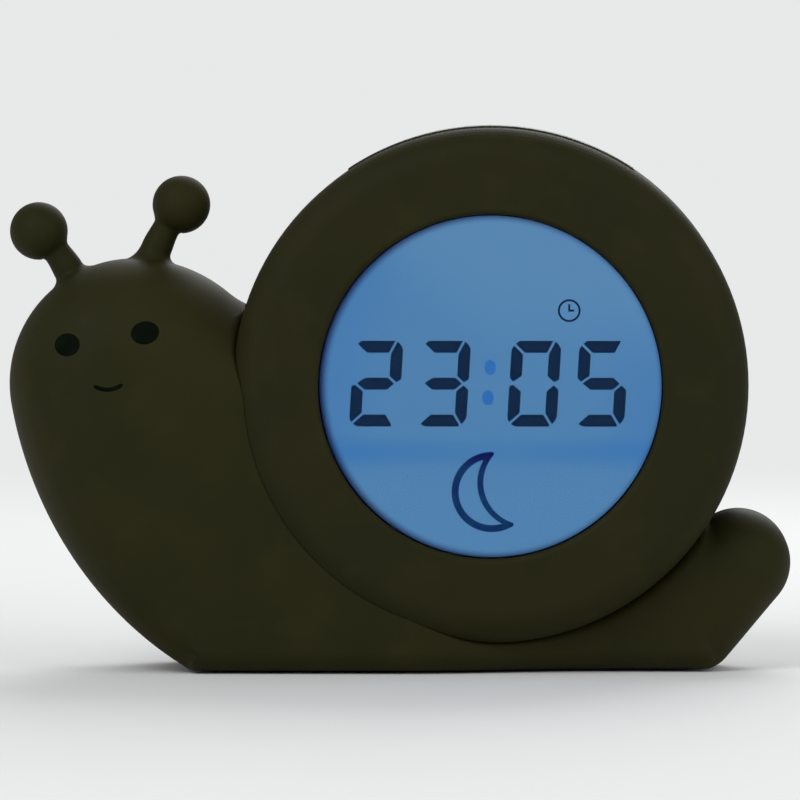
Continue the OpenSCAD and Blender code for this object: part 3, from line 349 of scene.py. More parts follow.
@dataclass(frozen=True)
class LitDisplay(Finish):
    """A liquid-crystal cell lit from behind, bluer in a band across and darkened at its rim,
    partly by its backlight's falloff and partly as painted shade from the bezel.

    Places are measured from its centre. A field that ends in _lean slants the edge of a tone.
    """

    centre: Span
    middle: Colour = screen(79, 129, 171)
    side: Colour = screen(72, 124, 173)
    upper: Colour = screen(88, 135, 175)
    band: Colour = screen(56, 117, 174)
    lower: Colour = screen(81, 130, 172)
    # rim: painted shade from the bezel over the cell's edge, partly the backlight's own falloff
    # there.
    rim: Colour = screen(4, 14, 66)
    glass: Colour = screen(4, 10, 20)
    roughness: float = 0.5
    specular: float = 0.03
    side_at: Span = (18.0, 34.0)
    side_lean: float = 0.2
    upper_at: Span = (2.0, 24.0)
    upper_lean: Span = (0.45, 0.35)
    lower_at: Span = (16.5, 27.0)
    band_y: float = -14.2
    band_half: float = 4.6
    band_least: float = 0.45
    band_at: Triple = (4.0, 26.0, 0.3)
    patch: float = 19.0
    patch_stretch: Triple = (0.35, 1.0, 1.0)
    patch_at: Triple = (0.45, 0.75, 0.16)
    rim_shade_at: Span = (35.2, 37.6)
    rim_shade_lean: float = 0.014
    grain: float = 0.3
    grain_dull: float = 0.1

    def material(self) -> bpy.types.Material:
        """Builds the material.

        Returns:
            The material.
        """
        recipe = Recipe(self.name)
        x, _, z = recipe.along()
        right, up = x - self.centre[0], z - self.centre[1]
        aside = right.size()
        radius = (right * right + up * up) ** 0.5
        outward = aside + up * self.side_lean
        upward = up + right * self.upper_lean[0] - aside * self.upper_lean[1]
        tone = recipe.mix(outward.eased(*self.side_at), self.middle, self.side)
        tone = recipe.mix(upward.eased(*self.upper_at), tone, self.upper)
        tone = recipe.mix((0 - up).eased(*self.lower_at), tone, self.lower)
        stripe = 1 - (up - self.band_y).size().eased(0.0, self.band_half)
        strength = self.band_least + aside.eased(*self.band_at)
        tone = recipe.mix(stripe * strength, tone, self.band)
        patches = recipe.noise(self.patch, stretch=self.patch_stretch)
        tone = recipe.mix(patches.eased(*self.patch_at), tone, self.upper)
        # Painted shade at the rim under the bezel, partly the backlight's falloff, running wider
        # on the left.
        tone = recipe.mix((radius - right * self.rim_shade_lean).eased(*self.rim_shade_at), tone, self.rim)
        grain = recipe.noise(self.grain, detail=1)
        return recipe.finish({
            "Base Color": self.glass,
            "Roughness": self.roughness + grain * self.grain_dull,
            "Specular IOR Level": self.specular, "Emission Color": tone,
            "Emission Strength": 1.0})


@dataclass(frozen=True)
class Ink(Finish):
    """A segment of a liquid-crystal cell, which lets little of the light behind it through.

    It turns deeper between the two heights of deep_at, which lie far above the clock unless a
    segment has its own.
    """

    colour: Colour
    deeper: Colour
    deep_at: Span = (1000.0, 1004.0)
    glass: Colour = screen(3, 8, 18)
    roughness: float = 0.55
    specular: float = 0.02
    cloud: float = 5.0
    cloud_at: Triple = (0.35, 0.7, 0.6)
    grain: float = 0.4
    grain_dull: float = 0.1

    def material(self) -> bpy.types.Material:
        """Builds the material.

        Returns:
            The material.
        """
        recipe = Recipe(self.name)
        _, _, height = recipe.along()
        clouds = recipe.noise(self.cloud)
        tone = recipe.mix(clouds.eased(*self.cloud_at), self.colour, self.deeper)
        tone = recipe.mix(height.eased(*self.deep_at), tone, self.deeper)
        return recipe.finish({
            "Base Color": self.glass,
            "Roughness": self.roughness + recipe.noise(self.grain) * self.grain_dull,
            "Specular IOR Level": self.specular, "Emission Color": tone,
            "Emission Strength": 1.0})


@dataclass(frozen=True)
class ClearSheet(Finish):
    """A clear moulded window with faint wipe marks."""

    tint: Colour = screen(246, 249, 255)
    ior: float = 1.12
    roughness: float = 0.01
    wipe: float = 9.0
    wipe_stretch: Triple = (1.0, 1.0, 3.0)
    wipe_at: Triple = (0.45, 0.8, 0.03)

    def material(self) -> bpy.types.Material:
        """Builds the material.

        Returns:
            The material.
        """
        recipe = Recipe(self.name)
        wipes = recipe.noise(self.wipe, detail=3, stretch=self.wipe_stretch)
        return recipe.finish({
            "Base Color": self.tint, "Transmission Weight": 1.0, "IOR": self.ior,
            "Roughness": self.roughness + wipes.eased(*self.wipe_at)})


@dataclass(frozen=True)
class Rubber(Finish):
    """Black or grey rubber with a fine matt grain."""

    colour: Colour
    worn: Colour
    roughness: float = 0.78
    specular: float = 0.25
    grain: float = 0.4
    grain_shine: float = 0.2
    grain_depth: float = 0.03
    dust: float = 6.0
    dust_at: Triple = (0.5, 0.75, 0.5)

    def material(self) -> bpy.types.Material:
        """Builds the material.

        Returns:
            The material.
        """
        recipe = Recipe(self.name)
        grain = recipe.noise(self.grain, detail=3)
        dust = recipe.noise(self.dust, detail=3)
        return recipe.finish({
            "Base Color": recipe.mix(dust.eased(*self.dust_at), self.colour, self.worn),
            "Roughness": self.roughness + grain.swing(self.grain_shine),
            "Specular IOR Level": self.specular,
            "Normal": recipe.bump(grain, self.grain_depth)})


@dataclass(frozen=True)
class Metal(Finish):
    """Plated or bare metal with fine drawn lines."""

    colour: Colour
    tarnish: Colour
    roughness: float = 0.32
    stretch: Triple = (1.0, 6.0, 1.0)
    line: float = 0.5
    line_shine: float = 0.22
    line_depth: float = 0.01
    spot: float = 2.4
    spot_at: Triple = (0.5, 0.78, 0.6)

    def material(self) -> bpy.types.Material:
        """Builds the material.

        Returns:
            The material.
        """
        recipe = Recipe(self.name)
        lines = recipe.noise(self.line, detail=3, stretch=self.stretch)
        spots = recipe.noise(self.spot, detail=3)
        return recipe.finish({
            "Base Color": recipe.mix(spots.eased(*self.spot_at), self.colour, self.tarnish),
            "Metallic": 1.0, "Roughness": self.roughness + lines.swing(self.line_shine),
            "Normal": recipe.bump(lines, self.line_depth)})


@dataclass(frozen=True)
class CircuitBoard(Finish):
    """Solder mask over copper tracks."""

    mask: Colour = screen(20, 74, 46)
    track: Colour = screen(44, 112, 70)
    roughness: float = 0.3
    track_step: float = 2.6
    track_at: Span = (0.42, 0.5)
    weave: float = 0.5
    weave_dull: float = 0.15
    weave_part: float = 0.2
    depth: float = 0.03

    def material(self) -> bpy.types.Material:
        """Builds the material.

        Returns:
            The material.
        """
        recipe = Recipe(self.name)
        cells = recipe.signal("Distance", "ShaderNodeTexVoronoi", {"distance": "MANHATTAN"},
                              {"Vector": recipe.place(), "Scale": 1 / (self.track_step * MM)})
        tracks = cells.eased(*self.track_at)
        weave = recipe.noise(self.weave)
        return recipe.finish({
            "Base Color": recipe.mix(tracks, self.mask, self.track),
            "Roughness": self.roughness + weave * self.weave_dull,
            "Normal": recipe.bump(tracks + weave * self.weave_part, self.depth)})


@dataclass(frozen=True)
class HardPlastic(Finish):
    """Plain moulded plastic, such as a chip's body, a connector or a lamp's lens."""

    colour: Colour
    other: Colour
    roughness: float = 0.4
    coat: float = 0.0
    specular: float = 0.5
    cloud: float = 3.0
    cloud_at: Span = (0.4, 0.7)
    grain: float = 0.25
    grain_shine: float = 0.14
    grain_depth: float = 0.008

    def material(self) -> bpy.types.Material:
        """Builds the material.

        Returns:
            The material.
        """
        recipe = Recipe(self.name)
        clouds = recipe.noise(self.cloud, detail=3)
        grain = recipe.noise(self.grain)
        return recipe.finish({
            "Base Color": recipe.mix(clouds.eased(*self.cloud_at), self.colour, self.other),
            "Roughness": self.roughness + grain.swing(self.grain_shine),
            "Coat Weight": self.coat, "Specular IOR Level": self.specular,
            "Normal": recipe.bump(grain, self.grain_depth)})


@dataclass(frozen=True)
class CellWrap(Finish):
    """The foil of a dry cell: a plain pale sleeve with a blue-grey band at each end."""

    across: float
    sleeve: Colour = screen(172, 175, 176)
    band: Colour = screen(62, 92, 118)
    band_at: Span = (15.2, 15.5)
    metallic: float = 0.6
    roughness: float = 0.26
    crease: float = 1.6
    crease_dull: float = 0.14
    crease_depth: float = 0.02

    def material(self) -> bpy.types.Material:
        """Builds the material.

        Returns:
            The material.
        """
        recipe = Recipe(self.name)
        x, _, _ = recipe.along()
        ring = (x - self.across).size().eased(*self.band_at)
        creases = recipe.noise(self.crease, detail=3)
        return recipe.finish({
            "Base Color": recipe.mix(ring, self.sleeve, self.band), "Metallic": self.metallic,
            "Roughness": self.roughness + creases * self.crease_dull,
            "Normal": recipe.bump(creases, self.crease_depth)})


OLIVE = SoftPlastic("soft_olive", screen(38, 37, 12), screen(42, 41, 15), screen(34, 34, 11))
FACE_INK = HardPlastic("face_ink", screen(7, 12, 6), screen(11, 16, 9), 0.7, specular=0.02)
CELL_CAP = Metal("cell_cap", screen(190, 190, 192), screen(150, 150, 150), 0.3)


class Ware(Enum):
    """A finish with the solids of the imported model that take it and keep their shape."""

    SHELL = (SoftPlastic("shell_olive", screen(37, 36, 13), screen(41, 40, 16),
                         screen(33, 33, 12), roughness=0.64),
             "shell_ring", "rear_cover", "battery_door")
    DIFFUSER = (SoftPlastic("diffuser", screen(44, 44, 30), screen(49, 49, 35),
                            screen(40, 40, 28), roughness=0.5, specular=0.25, grain=0.25),
                "top_key")
    KEY = (SoftPlastic("key_olive", screen(52, 50, 30), screen(58, 56, 35),
                       screen(47, 45, 27), roughness=0.66, grain=0.28),
           "key_light", "key_alarm", "key_time", "key_up", "key_down")
    PAD = Rubber("pad_rubber", screen(30, 30, 29), screen(52, 51, 48)), "base_pad"
    GASKET = (Rubber("gasket_black", screen(7, 8, 11), screen(14, 15, 19), 0.7),
              "display_gasket", "zebra_strip")
    ZINC = (Metal("zinc", screen(168, 170, 174), screen(122, 122, 120)),
            "case_screws", "board_screws", "door_screw")
    NICKEL = (Metal("nickel", screen(196, 194, 188), screen(150, 146, 138), 0.24,
                    (6.0, 1.0, 1.0)), "usb_socket", "battery_contacts")
    WINDOW = ClearSheet("clear_window"), "display_window"
    INK = Ink("dark_segment", screen(2, 29, 59), screen(7, 34, 63)), "digits", "clock_icon"
    MOON = Ink("moon_line", screen(4, 50, 92), screen(2, 10, 80), (43.5, 47.5)), "moon_icon"
    DOT = Ink("pale_segment", screen(44, 106, 176), screen(50, 112, 180)), "colon"
    GUIDE = (HardPlastic("light_guide", screen(222, 230, 236), screen(206, 218, 228), 0.16),
             "light_guide")
    HOLDER = (HardPlastic("holder_white", screen(212, 214, 212), screen(200, 202, 200)),
              "display_holder")
    BOARD = CircuitBoard("circuit_board"), "main_board", "light_board", "key_board", "power_board"
    CHIP = (HardPlastic("chip_black", screen(28, 28, 30), screen(36, 36, 38)),
            "board_chips", "top_switches", "key_switches")
    LAMP = (HardPlastic("lamp_yellow", screen(232, 226, 172), screen(218, 208, 140), 0.25, 0.5),
            "backlight_leds", "night_light_leds")
    RIBBON = (HardPlastic("ribbon_cream", screen(220, 216, 200), screen(206, 200, 182), 0.38),
              "ribbon", "connectors")
    SPEAKER = Metal("speaker_frame", screen(70, 70, 74), screen(50, 50, 52), 0.4), "speaker"
    CONE = Rubber("speaker_paper", screen(22, 22, 24), screen(36, 35, 34), 0.86), "speaker_cone"

    def __init__(self, finish: Finish, *nodes: str) -> None:
        """Takes a member apart into its finish and the solids that take it."""
        self.finish = finish
        self.nodes = nodes


# ------------------------------------------------------------------ meshes


def new_piece(name: str, points: Points, faces: list[tuple[int, ...]],
              finish: bpy.types.Material, sharp: float = 40.0) -> bpy.types.Object:
    """Makes a smooth-shaded object out of points.

    Args:
        name: The piece's name.
        points: Its corners in millimetres.
        faces: Its faces.
        finish: Its material.
        sharp: The angle in degrees above which an edge stays crisp.

    Returns:
        The object, linked to the scene.
    """
    mesh = bpy.data.meshes.new(name)
    mesh.from_pydata([tuple(p) for p in np.asarray(points) * MM], [], faces)
    work = bmesh.new()
    work.from_mesh(mesh)
    bmesh.ops.recalc_face_normals(work, faces=work.faces)
    work.to_mesh(mesh)
    work.free()
    mesh.shade_smooth()
    mesh.set_sharp_from_angle(angle=math.radians(sharp))
    mesh.materials.append(finish)
    piece = bpy.data.objects.new(name, mesh)
    bpy.context.scene.collection.objects.link(piece)
    return piece


def stand_in(piece: bpy.types.Object, node: str) -> None:
    """Lets a piece take the place of a solid on the clock's body.

    Args:
        piece: The piece.
        node: The solid.
    """
    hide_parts(node)
    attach(piece, "clock")
    log.info("%s: %d faces", piece.name, len(piece.data.polygons))


def tube_faces(rows: int, columns: int, capped: bool = False) -> list[tuple[int, ...]]:
    """The faces of a tube whose points are stored ring by ring.

    Args:
        rows: The number of rings.
        columns: The number of points in a ring.
        capped: Whether a face closes each end.

    Returns:
        The faces.
    """
    faces: list[tuple[int, ...]] = []
    for start in range(0, (rows - 1) * columns, columns):
        for j in range(columns):
            beside = (j + 1) % columns
            faces.append((start + j, start + beside, start + columns + beside,
                          start + columns + j))
    if capped:
        faces.append(tuple(range(columns)))
        faces.append(tuple(range((rows - 1) * columns, rows * columns)))
    return faces


def smooth(share: Points) -> Points:
    """Eases a share from 0 to 1 in and out."""
    held = np.clip(share, 0, 1)
    return held * held * (3 - 2 * held)


def heading(degrees: Points | float) -> Points:
    """The unit vector (x, z) in a direction."""
    angle = np.radians(degrees)
    return np.stack([np.cos(angle), np.sin(angle)], axis=-1)


def spin(count: int) -> Points:
    """Directions evenly round a circle, in radians."""
    return np.linspace(0, 2 * math.pi, count, endpoint=False)


def middle_of(node: str) -> Points:
    """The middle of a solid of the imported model, in millimetres."""
    return sum(np.array(corner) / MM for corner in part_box(node)) / 2


# ------------------------------------------------------------------ snail's body


@dataclass
class SnailOutline:
    """The snail's outline as seen from the front, and the skin that swells out of it."""

    drum: Span = (19.9, 61.7)
    drum_r: float = 55.7
    drum_half: float = 25.0
    head: Span = (-58.0, 61.6)
    head_r: float = 27.0
    brow_r: float = 32.0
    flank_r: float = 83.5
    flank_start: float = 190.2
    toe_r: float = 4.2
    heel_r: float = 6.4
    tail: Span = (73.7, 22.8)
    tail_r: float = 11.3
    tail_slope: float = 49.5
    saddle_turns: tuple[float, ...] = (166.5, 187.0, 224.0, 227.0, 303.0, 308.0, 318.0)
    body_depth: float = 46.8
    tail_depth: float = 31.0
    narrowing: Span = (0.0, 45.0)
    head_edge: float = 21.0
    flank_edge: float = 8.0
    base_edge: float = 4.5
    tail_edge: float = 11.0
    end_trim: float = 0.5
    notch_rise: float = 1.1
    notch_l: float = 5.0
    pad_t: float = 0.6
    fineness: int = 6

    def __post_init__(self) -> None:
        """Works out the outline once."""
        self.drum_c = np.array(self.drum)
        self.head_c = np.array(self.head)
        self.tail_c = np.array(self.tail)
        self.brow_c = self.head_c - [0, self.brow_r - self.head_r]
        self.flank_c = self.head_c - (self.flank_r - self.head_r) * heading(self.flank_start)
        self.toe_c = np.array([
            self.flank_c[0] - math.sqrt((self.flank_r - self.toe_r) ** 2
                                        - (self.flank_c[1] - self.toe_r) ** 2), self.toe_r])
        slope_a = 270 + self.tail_slope
        rise = math.radians(slope_a)
        self.heel_c = np.array([
            self.tail[0] + (self.tail_r - self.heel_r
                            - (self.heel_r - self.tail[1]) * math.sin(rise)) / math.cos(rise),
            self.heel_r])
        self.places, self.edges, self.saddle = self._trace(slope_a)

    @staticmethod
    def _bearing(origin: Points, goal: Points, low: float) -> float:
        """The direction from one point to another, turned up to at least low degrees."""
        angle = math.degrees(math.atan2(goal[1] - origin[1], goal[0] - origin[0]))
        return angle + 360 if angle < low else angle

    @staticmethod
    def _meeting(c1: Points, r1: float, c2: Points, r2: float) -> Points:
        """Where two circles meet, to the left going from the first centre to the second.

        Args:
            c1: The first centre.
            r1: The first radius.
            c2: The second centre.
            r2: The second radius.

        Returns:
            The point (x, z).
        """
        d = np.linalg.norm(c2 - c1)
        u = (c2 - c1) / d
        a = (r1 * r1 - r2 * r2 + d * d) / (2 * d)
        return c1 + a * u + math.sqrt(r1 * r1 - a * a) * np.array([-u[1], u[0]])

    def _arc(self, centre: Points, radius: float, first: float, last: float,
             count: int) -> Points:
        """Points on an arc from one direction to another, in count coarse steps."""
        return centre + radius * heading(np.linspace(first, last, count * self.fineness + 1))

    def _line(self, first: Points, last: Points, count: int) -> Points:
        """Points on a straight line, in count coarse steps."""
        share = np.linspace(0, 1, count * self.fineness + 1)[:, None]
        return np.array(first) * (1 - share) + np.array(last) * share

    def _trace(self, slope_a: float) -> tuple[Points, Points, Points]:
        """Runs along the outline, from the brow round the head and the base to the tail.

        Args:
            slope_a: The outward direction of the tail's straight edge.

        Returns:
            The points, the rounding of the edge at each, and the direction on the drum that
            each one's section runs to.
        """
        brow_end = self._meeting(self.brow_c, self.brow_r, self.drum_c, self.drum_r)
        tail_end = self._meeting(self.drum_c, self.drum_r, self.tail_c, self.tail_r)
        trim = math.degrees(self.end_trim)
        brow_a = self._bearing(self.brow_c, brow_end, 0) + trim / self.brow_r
        tail_a = self._bearing(self.tail_c, tail_end, 0) + 360 - trim / self.tail_r
        toe_a = self._bearing(self.flank_c, self.toe_c, 180)
        rims = [self._bearing(self.drum_c, brow_end, 0) + trim / self.drum_r,
                *self.saddle_turns,
                self._bearing(self.drum_c, tail_end, 180) - trim / self.drum_r]

        brow = self._arc(self.brow_c, self.brow_r, brow_a, 90, 6)
        near = np.clip(1 - np.linalg.norm(brow - brow[0], axis=1) / self.notch_l, 0, 1)
        brow += self.notch_rise * (near ** 2)[:, None] * heading(rims[0] - 90)
        rims[0] -= math.degrees(self.notch_rise / self.drum_r)
        head = self._arc(self.head_c, self.head_r, 90, self.flank_start, 13)
        flank = self._arc(self.flank_c, self.flank_r, self.flank_start, toe_a, 8)
        toe = self._arc(self.toe_c, self.toe_r, toe_a, 270, 3)
        base = self._line((self.toe_c[0], 0), (self.heel_c[0], 0), 14)
        heel = self._arc(self.heel_c, self.heel_r, 270, slope_a, 3)
        slope = self._line(self.heel_c + self.heel_r * heading(slope_a),
                           self.tail_c + self.tail_r * heading(slope_a), 2)
        tail = self._arc(self.tail_c, self.tail_r, slope_a, tail_a, 9)

        stretches = [brow, head, flank, toe, base, heel, slope, tail]
        rounds = [self.head_edge, self.head_edge, self.head_edge, self.flank_edge,
                  self.base_edge, self.base_edge, self.flank_edge, self.tail_edge,
                  self.tail_edge]
        places, edges, saddle = [], [], []
        for i, points in enumerate(stretches):
            keep = slice(None) if i == len(stretches) - 1 else slice(0, -1)
            share = np.linspace(0, 1, len(points))
            places.append(points[keep])
            edges.append((rounds[i] + (rounds[i + 1] - rounds[i]) * smooth(share))[keep])
            saddle.append((rims[i] + (rims[i + 1] - rims[i]) * share)[keep])
        return np.concatenate(places), np.concatenate(edges), np.concatenate(saddle)

    def half_depth(self, x: Points) -> Points:
        """Half of the body's depth at a distance x from the middle."""
        share = smooth(np.interp(x, self.narrowing, (0, 1)))
        return (self.body_depth + (self.tail_depth - self.body_depth) * share) / 2

    def skin(self, points: Points) -> Points:
        """How far the skin stands in front of the middle plane.

        Args:
            points: Places (x, z) inside the outline.

        Returns:
            The depth at each place.
        """
        a = self.places[:-1]
        ab = self.places[1:] - a
        depth = np.empty(len(points))
        for i, p in enumerate(points):
            t = np.clip(((p - a) * ab).sum(1) / (ab * ab).sum(1), 0, 1)
            gap = np.linalg.norm(p - a - ab * t[:, None], axis=1)
            k = int(gap.argmin())
            edge = self.edges[k] + (self.edges[k + 1] - self.edges[k]) * t[k]
            near = min(gap[k], edge)
            depth[i] = -edge + math.sqrt(edge * edge - (edge - near) ** 2)
        return depth + self.half_depth(points[:, 0])

    def drum_radius(self, y: Points, edge: float) -> Points:
        """The drum's radius at a distance y from its middle plane."""
        into = np.clip(np.asarray(y) - self.drum_half + edge, 0, edge)
        return self.drum_r - edge + np.sqrt(edge * edge - into * into)


@dataclass
class SnailBody:
    """The two halves of the snail's body, which close around the drum with a soft lip."""

    outline: SnailOutline
    lip: float = 2.6
    least_lip: float = 0.12
    lip_share: float = 0.34
    lip_from: float = 1.2
    lip_at: float = 1.0
    end_share: float = 0.15
    saddle_gap: float = 0.02
    seam_gap: float = 0.03
    seam_round: float = 0.28
    seam_bow: float = 0.3
    least_slant: float = 0.35
    edge_share: float = 0.85
    front_edge: float = 7.0
    rear_edge: float = 5.0
    edge_steps: int = 22
    flat_steps: int = 14
    lip_steps: int = 6
    wall_steps: int = 6

    def _lip(self, p: Points, rim: Points, drum_edge: float) -> tuple[float, float]:
        """The lip beside the drum, which is smaller where the skin is high or the outline near.

        Args:
            p: The place (x, z) on the outline.
            rim: The direction on the drum that the section runs to.
            drum_edge: The rounding of the drum's edge on this side.

        Returns:
            The lip's radius, and the drum's radius where the lip ends.
        """
        form = self.outline
        top = form.skin((form.drum_c + (form.drum_r + self.lip_at) * rim)[None])[0]
        near = float(np.linalg.norm(form.drum_c + form.drum_r * rim - p))
        room = self.lip_share * (form.drum_half - top - self.lip_from)
        lip = max(self.least_lip, min(self.lip, room, self.end_share * near))
        return lip, float(form.drum_radius(top - lip, drum_edge)) + self.saddle_gap

    def _seam(self, p: Points, inward: Points, side: float) -> Points:
        """The rounded edge at the seam and the middle of the straight side above it.

        Args:
            p: The place (x, z) on the outline.
            inward: The direction into the outline.
            side: The depth at which the side ends.

        Returns:
            Points (x, depth, z).
        """
        sink = self.seam_round * np.array([1.0, self.seam_bow, 0.0, 0.0])
        rise = [self.seam_gap, self.seam_gap + self.seam_bow * self.seam_round,
                self.seam_gap + self.seam_round, side / 2]
        flat = p + sink[:, None] * inward
        return np.column_stack([flat[:, 0], rise, flat[:, 1]])

    def _skin(self, i: int, inward: Points, goal: Points) -> Points:
        """The run over the skin, from the outline to the lip.

        Args:
            i: Which of the outline's points it starts at.
            inward: The direction into the outline.
            goal: The place (x, z) that it ends at.

        Returns:
            Points (x, depth, z), close together over the rounded edge.
        """
        form = self.outline
        p = form.places[i]
        length = float(np.linalg.norm(goal - p))
        u = (goal - p) / length
        slant = max(self.least_slant, float(u @ inward))
        reach = min(form.edges[i] / slant, self.edge_share * length)
        turn = np.linspace(0, QUARTER, self.edge_steps + 1)
        along = np.concatenate([reach * (1 - np.cos(turn)),
                                np.linspace(reach, length, self.flat_steps + 1)[1:]])
        places = p + along[:, None] * u
        return np.column_stack([places[:, 0], form.skin(places), places[:, 1]])

    def _section(self, i: int, drum_edge: float) -> Points:
        """One closed section of a half.

        Args:
            i: Which of the outline's points it starts at.
            drum_edge: The rounding of the drum's edge on this side.

        Returns:
            Points (x, depth, z) from the seam over the skin and down along the drum.
        """
        form = self.outline
        p, rim = form.places[i], heading(form.saddle[i])
        last = len(form.places) - 1
        ahead = form.places[min(i + 1, last)] - form.places[max(i - 1, 0)]
        inward = np.array([-ahead[1], ahead[0]]) / np.linalg.norm(ahead)
        lip, lip_rad = self._lip(p, rim, drum_edge)
        skin = self._skin(i, inward, form.drum_c + (lip_rad + lip) * rim)
        end = skin[-1, 1]
        bend = np.linspace(0, QUARTER, self.lip_steps + 1)[1:]
        down = np.linspace(end - lip, self.seam_gap, self.wall_steps + 1)[1:]
        depth = np.concatenate([end - lip + lip * np.cos(bend), down])
        radius = np.concatenate([lip_rad + lip - lip * np.sin(bend),
                                 form.drum_radius(down, drum_edge) + self.saddle_gap])
        saddle = form.drum_c + radius[:, None] * rim
        return np.vstack([self._seam(p, inward, skin[0, 1]), skin,
                          np.column_stack([saddle[:, 0], depth, saddle[:, 1]])])

    def _half(self, name: str, towards: int, drum_edge: float,
              finish: bpy.types.Material) -> bpy.types.Object:
        """Builds one half.

        Args:
            name: The piece's name.
            towards: -1 for the front, 1 for the rear.
            drum_edge: The rounding of the drum's edge on this side.
            finish: Its material.

        Returns:
            The half.
        """
        rows = [self._section(i, drum_edge) for i in range(len(self.outline.places))]
        points = np.vstack(rows)
        points[:, 1] *= towards
        points[:, 2] += self.outline.pad_t
        faces = tube_faces(len(rows), len(rows[0]), capped=True)
        return new_piece(name, points, faces, finish)

    def build(self, finish: bpy.types.Material) -> None:
        """Builds and places both halves, which share one finish."""
        stand_in(self._half("snail_front", -1, self.front_edge, finish), "body_front")
        stand_in(self._half("snail_rear", 1, self.rear_edge, finish), "body_rear")


@dataclass
class Feeler:
    """One soft feeler with a ball end: it flares out where it leaves the head, and it bends."""

    name: str
    foot_turn: float
    foot_sink: float
    low_turn: float
    high_turn: float
    low_l: float = 6.5
    high_l: float = 8.8
    ball_r: float = 6.3
    neck_r: float = 3.0
    neck_l: float = 0.9
    neck_flare: float = 0.45
    stalk_r: float = 3.35
    foot_r: float = 6.4
    flare: float = 4.4
    flare_over: float = 0.6
    flare_from: float = 0.05
    flare_bend: float = 0.1
    sunk: float = 1.6
    root_share: float = 0.96
    brim_sunk: float = 0.12
    search: Span = (-9.0, 7.0)
    halvings: int = 30
    pole: float = 0.02
    spokes: int = 72
    spine_steps: int = 59
    foot_steps: int = 14
    stalk_steps: int = 7
    neck_steps: int = 5
    ball_steps: int = 31

    def _spine(self, outline: SnailOutline) -> tuple[Points, Points]:
        """The bent axis, as points and the lengths up to them.

        Args:
            outline: The snail's outline, which the axis starts in.

        Returns:
            The points (x, z) and the lengths.
        """
        foot = outline.head_c + (outline.head_r - self.foot_sink) * heading(self.foot_turn)
        bend = foot + self.low_l * heading(self.low_turn)
        ball = bend + self.high_l * heading(self.high_turn)
        share = np.linspace(0, 1, self.spine_steps + 1)[:, None]
        bow = (1 - share) ** 2 * foot + 2 * share * (1 - share) * bend + share ** 2 * ball
        steps = np.linalg.norm(np.diff(bow, axis=0), axis=1)
        return bow, np.concatenate([[0.0], np.cumsum(steps)])

    def _circle(self, centre: Points, ahead: Points, radius: float) -> Points:
        """Points round a centre, which may differ from point to point, square to ahead."""
        side, out = radius * np.cos(spin(self.spokes)), radius * np.sin(spin(self.spokes))
        return np.column_stack([centre[..., 0] + side * ahead[..., 1], out,
                                centre[..., 1] - side * ahead[..., 0]])

    def _ring(self, spine: tuple[Points, Points], radius: float,
              height: Points | float) -> Points:
        """A ring around the spine.

        Args:
            spine: The bent axis.
            radius: The ring's radius.
            height: How far along the spine it is, or each of its points.

        Returns:
            Its points (x, y, z).
        """
        bow, lengths = spine
        height = height * np.ones(self.spokes)
        turns = np.unwrap(np.arctan2(*np.gradient(bow, axis=0).T[::-1]))
        turn = np.interp(height, lengths, turns)
        ahead = np.column_stack([np.cos(turn), np.sin(turn)])
        centre = np.column_stack([np.interp(height, lengths, bow[:, i]) for i in (0, 1)])
        centre += np.minimum(height, 0)[:, None] * ahead
        return self._circle(centre, ahead, radius)

    def _over(self, outline: SnailOutline, points: Points) -> Points:
        """How far points are over the head's skin, negative inside.

        Args:
            outline: The snail's outline.
            points: Places (x, y, z) measured from the body's base.

        Returns:
            The height over the skin.
        """
        left = points[:, 0] < outline.head[0]
        centre = np.where(left[:, None], outline.head_c, outline.brow_c)
        radius = np.where(left, outline.head_r, outline.brow_r)
        edge = outline.head_edge
        into = np.clip(np.abs(points[:, 1]) - outline.body_depth / 2 + edge, 0, edge)
        allowed = radius - edge + np.sqrt(edge * edge - into * into)
        return np.linalg.norm(points[:, [0, 2]] - centre, axis=1) - allowed

    def _landing(self, outline: SnailOutline, spine: tuple[Points, Points],
                 radius: float) -> Points:
        """Halves the way up the spine until a ring's points lie on the head.

        Args:
            outline: The snail's outline.
            spine: The bent axis.
            radius: The ring's radius.

        Returns:
            How far along the spine each of the ring's points lands.
        """
        low, high = (np.full(self.spokes, end) for end in self.search)
        for _ in range(self.halvings):
            middle = (low + high) / 2
            over = self._over(outline, self._ring(spine, radius, middle)) > 0
            high, low = np.where(over, middle, high), np.where(over, low, middle)
        return (low + high) / 2

    def _foot(self, outline: SnailOutline,
              spine: tuple[Points, Points]) -> tuple[list[Points], float]:
        """The flared foot, from inside the head up to the stalk.

        Args:
            outline: The snail's outline.
            spine: The bent axis.

        Returns:
            The rings, and how far along the spine the last one is.
        """
        edge_h = self._landing(outline, spine, self.foot_r)
        inner_h = self._landing(outline, spine, self.stalk_r)
        top_h = max(self.flare, float(inner_h.max()) + self.flare_over)
        first_h, bend_h = edge_h - self.flare_from, inner_h + self.flare_bend
        rows = [self._ring(spine, self.foot_r * self.root_share, edge_h - self.sunk),
                self._ring(spine, self.foot_r, edge_h - self.brim_sunk)]
        for share in np.linspace(0, 1, self.foot_steps + 1)[1:]:
            a, b, c = (1 - share) ** 2, 2 * share * (1 - share), share ** 2
            rows.append(self._ring(spine, a * self.foot_r + (b + c) * self.stalk_r,
                                   a * first_h + b * bend_h + c * top_h))
        return rows, top_h

    def _ball(self, spine: tuple[Points, Points], contact: float) -> list[Points]:
        """The rings of the ball, from the neck to its far side.

        Args:
            spine: The bent axis, which ends in the ball's middle.
            contact: The angle from the ball's root at which the neck meets it.

        Returns:
            The rings.
        """
        middle = spine[0][-1]
        ahead = middle - spine[0][-2]
        ahead = ahead / np.linalg.norm(ahead)
        rings = []
        for angle in np.linspace(math.pi - contact, self.pole, self.ball_steps + 1)[1:]:
            centre = middle + self.ball_r * math.cos(angle) * ahead
            rings.append(self._circle(centre, ahead, self.ball_r * math.sin(angle)))
        return rings

